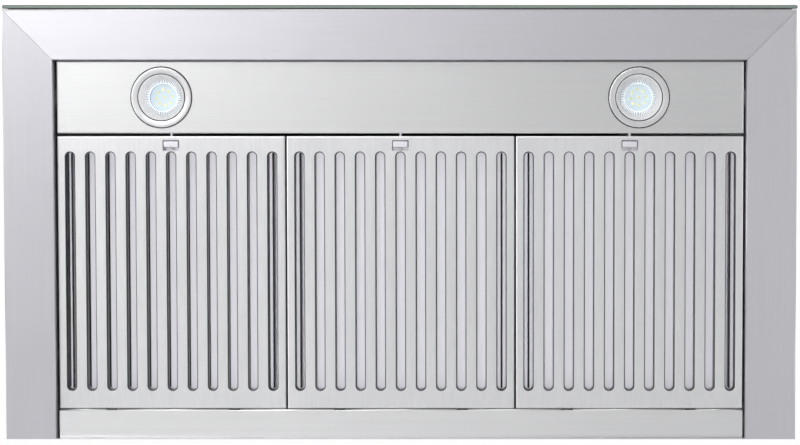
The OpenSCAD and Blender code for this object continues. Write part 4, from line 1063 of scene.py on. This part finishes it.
class HOOD_OT_glass(HoodOperator):
    """Makes the glass strip with its polished edge, and the marks of its touch keys"""
    bl_idname = "hood.make_glass"
    bl_label = "Glass fascia"

    def build(self, scene):
        near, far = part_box("glass_fascia")
        chamfer = 0.9 * MM
        bm = bmesh.new()
        add_block(bm, near, far)
        corners = round_off(bm, bm.edges[:], chamfer, 1)
        for face in bm.faces:
            if abs(face.normal.y) < 0.1:
                face.material_index = 1
        # The chamfers take the dark copy of the edge green: painted shade along the corners of the glass
        for face in corners:
            face.material_index = 2
        make_piece(bm, "glass_strip", "hood", ["fascia_glass", "glass_edge", "glass_corner"],
                   ["glass_fascia"])
        self.marks(far.y)

    def marks(self, rear):
        """Thin printed rings and signs on the inner face of the glass, in front of the touch board."""
        board_low, board_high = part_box("touch_board")
        keys = 5
        pitch = (board_high.x - board_low.x) / keys
        middle_z = (board_low.z + board_high.z) / 2
        radius = 0.32 * (board_high.z - board_low.z)
        line = 0.35 * MM
        depth = 0.08 * MM
        bm = bmesh.new()
        for k in range(keys):
            x = (k - (keys - 1) / 2) * pitch
            spin_profile(bm, tube(radius, radius + line, 0, depth), (x, middle_z), 40)
            bar = 0.45 * radius
            if k == 0:
                add_block(bm, (x - line, middle_z, 0), (x + line, middle_z + 1.6 * bar, depth))
            if k in (1, 3):
                add_block(bm, (x - bar, middle_z - line, 0), (x + bar, middle_z + line, depth))
            if k == 3:
                add_block(bm, (x - line, middle_z - bar, 0), (x + line, middle_z + bar, depth))
            if k in (2, 4):
                ring = (AXIS_R, bar / 2) if k == 2 else (bar - line, bar)
                spin_profile(bm, tube(*ring, 0, depth), (x, middle_z), 24)
        for vert in bm.verts:
            vert.co = (vert.co.x, rear + 0.1 * MM + vert.co.z, vert.co.y)
        bmesh.ops.recalc_face_normals(bm, faces=bm.faces)
        make_piece(bm, "touch_marks", "hood", ["print"])


class HOOD_OT_screws(HoodOperator):
    """Makes the screws in the sides of the flue cover, with domed heads and hexagon sockets"""
    bl_idname = "hood.make_screws"
    bl_label = "Flue cover screws"

    def build(self, scene):
        near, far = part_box("flue_screws")
        face_x = high("flue_cover_lower").x
        middle = ((near.y + far.y) / 2, (near.z + far.z) / 2)
        radius = (far.z - near.z) / 2
        height = far.x - face_x
        socket_r = 0.42 * radius
        socket_depth = 0.6 * height
        shank_l = 5 * MM
        bm = bmesh.new()
        rings = []
        for k in range(6):
            angle = math.pi / 2 * k / 5
            r = radius * (0.55 + 0.45 * math.cos(angle))
            rings.append(add_ring(bm, middle, r, r, r, height * math.sin(angle), 6))
        socket = bmesh.ops.create_circle(bm, cap_ends=False, radius=socket_r, segments=6)
        loop = list({edge for vert in socket["verts"] for edge in vert.link_edges})
        bmesh.ops.subdivide_edges(bm, edges=loop, cuts=3)
        hexagon = [edge for edge in bm.edges if all(v.co.xy.length < 0.5 * radius for v in edge.verts)]
        verts = list({vert for edge in hexagon for vert in edge.verts})
        bmesh.ops.translate(bm, verts=verts, vec=(*middle, height))
        bridge(bm, rings)
        bridge(bm, [rings[-1], hexagon], False)
        floor = new_verts(bmesh.ops.extrude_edge_only(bm, edges=hexagon))
        bmesh.ops.translate(bm, verts=floor, vec=(0, 0, -socket_depth))
        floor_edges = [edge for edge in bm.edges if all(v in floor for v in edge.verts)]
        bmesh.ops.contextual_create(bm, geom=floor_edges)
        bmesh.ops.contextual_create(bm, geom=rings[0])
        spin_profile(bm, tube(AXIS_R, radius / 2, 0, -shank_l), middle, 24)
        for vert in bm.verts:
            vert.co = (face_x + vert.co.z, vert.co.x, vert.co.y)
        bmesh.ops.mirror(bm, geom=all_of(bm), axis="X", merge_dist=0)
        turn_out(bm)
        make_piece(bm, "flue_cover_screws", "hood", ["screw_steel"], ["flue_screws"])


class HOOD_OT_stage(HoodOperator):
    """Makes the floor, the room's light, the lamps and the camera"""
    bl_idname = "hood.make_stage"
    bl_label = "Stage"

    def build(self, scene):
        studio = scene.hood_studio
        self.floor(studio)
        self.room(scene, studio)
        floor = studio.floor_z
        self.lamp("pool_light", (-2.8, -2.6, floor + 1.9), (-2.8, -2.6, floor), (1.2, 1.2), studio.pool)
        self.lamp("right_light", (3.4, 0.7, floor + 1.5), (3.4, 0.7, floor), (1.0, 1.0), studio.right)
        self.lamp("rear_light", (-1.1, 3.5, floor + 1.2), (-1.1, 3.5, floor), (4.5, 0.5), studio.rear)
        fill = self.lamp("fill_light", (studio.axis_x, -0.07, -1.75), (-1.6, 0, 0), (0.25, 0.25), studio.fill)
        fill.visible_glossy = False
        self.lamp("side_light", (-4.5, 0, -3.4), (0, 0, 0), (4.0, 1.2), studio.side)
        self.lamp("front_light", (-1.0, -4.5, -3.4), (0, 0, 0), (4.0, 1.2), studio.front)
        self.camera(scene, studio)

    def floor(self, studio):
        """Pale floor far below the hood, which looks paler to the camera than its light on the hood is."""
        bm = bmesh.new()
        bmesh.ops.create_grid(bm, x_segments=1, y_segments=1, size=15)
        mesh = bpy.data.meshes.new("floor")
        bm.to_mesh(mesh)
        bm.free()
        material, tree, shader = make_material("pale_floor", (0.8, 0.8, 0.8), 0.0, 0.9)
        vary_colour(tree, shader, noise(tree, (0.6, 0.6, 0.6)), (0.78, 0.78, 0.78), (0.82, 0.82, 0.82))
        seen = tree.nodes.new("ShaderNodeLightPath").outputs["Is Camera Ray"]
        lift = add_node(tree, "Math", {0: seen, 1: studio.floor_lift})
        lift.operation = "MULTIPLY"
        feed(tree, shader, {"Emission Color": (1, 1, 1, 1), "Emission Strength": lift.outputs["Value"]})
        mesh.materials.append(material)
        floor = bpy.data.objects.new("floor", mesh)
        floor.location.z = studio.floor_z
        bpy.context.collection.objects.link(floor)

    def room(self, scene, studio):
        """White background for the camera and for reflections, and even light for the rest."""
        world = bpy.data.worlds.new("room")
        scene.world = world
        world.use_nodes = True
        tree = world.node_tree
        tree.nodes.clear()
        ray = tree.nodes.new("ShaderNodeLightPath").outputs
        reflected = add_node(tree, "Math", {0: ray["Is Glossy Ray"], 1: ray["Is Transmission Ray"]})
        seen = add_node(tree, "Math", {0: ray["Is Camera Ray"], 1: reflected.outputs["Value"]})
        reflected.operation = seen.operation = "MAXIMUM"
        even = add_node(tree, "Background", {"Color": (0.97, 0.98, 1.0, 1), "Strength": studio.ambient})
        white = add_node(tree, "Background", {"Color": (1, 1, 1, 1), "Strength": 1})
        mix = add_node(tree, "MixShader", {0: seen.outputs["Value"], 1: even.outputs["Background"],
                                           2: white.outputs["Background"]})
        add_node(tree, "OutputWorld", {"Surface": mix.outputs["Shader"]})
        scene.view_settings.view_transform = "Standard"

    def lamp(self, name, place, target, size, power):
        """A large soft lamp that the camera doesn't see."""
        data = bpy.data.lights.new(name, "AREA")
        data.shape = "RECTANGLE"
        data.size, data.size_y = size
        data.energy = power
        lamp = bpy.data.objects.new(name, data)
        lamp.location = place
        aim = Vector(target) - Vector(place)
        lamp.rotation_euler = aim.to_track_quat("-Z", "Y").to_euler()
        lamp.visible_camera = False
        bpy.context.collection.objects.link(lamp)
        return lamp

    def camera(self, scene, studio):
        """Camera under the hood that looks up, with the front of the hood at the top of the picture."""
        data = bpy.data.cameras.new("camera")
        data.sensor_fit = "HORIZONTAL"
        data.sensor_width = 36
        data.lens = data.sensor_width * studio.distance / studio.view_w
        data.shift_x = -studio.axis_x / studio.view_w
        data.shift_y = studio.shift_y
        data.clip_end = 60
        camera = bpy.data.objects.new("camera", data)
        axis_y = studio.centre_y + studio.shift_y * studio.view_w
        forward = Vector((0, math.sin(studio.tilt), math.cos(studio.tilt)))
        upward = Vector((0, -math.cos(studio.tilt), math.sin(studio.tilt)))
        place = Vector((studio.axis_x, axis_y, 0)) - studio.distance * forward
        turn = Matrix((Vector((1, 0, 0)), upward, -forward)).transposed()
        camera.matrix_world = Matrix.Translation(place) @ turn.to_4x4()
        bpy.context.collection.objects.link(camera)
        scene.camera = camera


class HOOD_PT_panel(bpy.types.Panel):
    """Sizes, colours and operators of the range hood"""
    bl_idname = "HOOD_PT_panel"
    bl_label = "Range Hood"
    bl_space_type = "VIEW_3D"
    bl_region_type = "UI"
    bl_category = "Range Hood"

    def draw(self, context):
        for operator in OPERATORS:
            self.layout.operator(operator.bl_idname)
        for group in GROUPS:
            box = self.layout.box()
            values = getattr(context.scene, group)
            box.label(text=group.replace("_", " ").capitalize())
            for name in values.__annotations__:
                box.prop(values, name)


OPERATORS = (HOOD_OT_finishes, HOOD_OT_rim, HOOD_OT_canopy, HOOD_OT_flue, HOOD_OT_panels, HOOD_OT_filters,
             HOOD_OT_lamps, HOOD_OT_glass, HOOD_OT_screws, HOOD_OT_stage)


def register():
    for group in GROUPS.values():
        bpy.utils.register_class(group)
    for operator in OPERATORS:
        bpy.utils.register_class(operator)
    bpy.utils.register_class(HOOD_PT_panel)
    for name, group in GROUPS.items():
        setattr(bpy.types.Scene, name, bpy.props.PointerProperty(type=group))


def unregister():
    for name in GROUPS:
        delattr(bpy.types.Scene, name)
    bpy.utils.unregister_class(HOOD_PT_panel)
    for operator in reversed(OPERATORS):
        bpy.utils.unregister_class(operator)
    for group in reversed(list(GROUPS.values())):
        bpy.utils.unregister_class(group)


def main():
    """Makes everything."""
    register()
    bpy.ops.hood.make_finishes()
    bpy.ops.hood.make_rim()
    bpy.ops.hood.make_canopy()
    bpy.ops.hood.make_flue()
    bpy.ops.hood.make_panels()
    bpy.ops.hood.make_filters()
    bpy.ops.hood.make_lamps()
    bpy.ops.hood.make_glass()
    bpy.ops.hood.make_screws()
    bpy.ops.hood.make_stage()


if __name__ == "__main__":
    main()
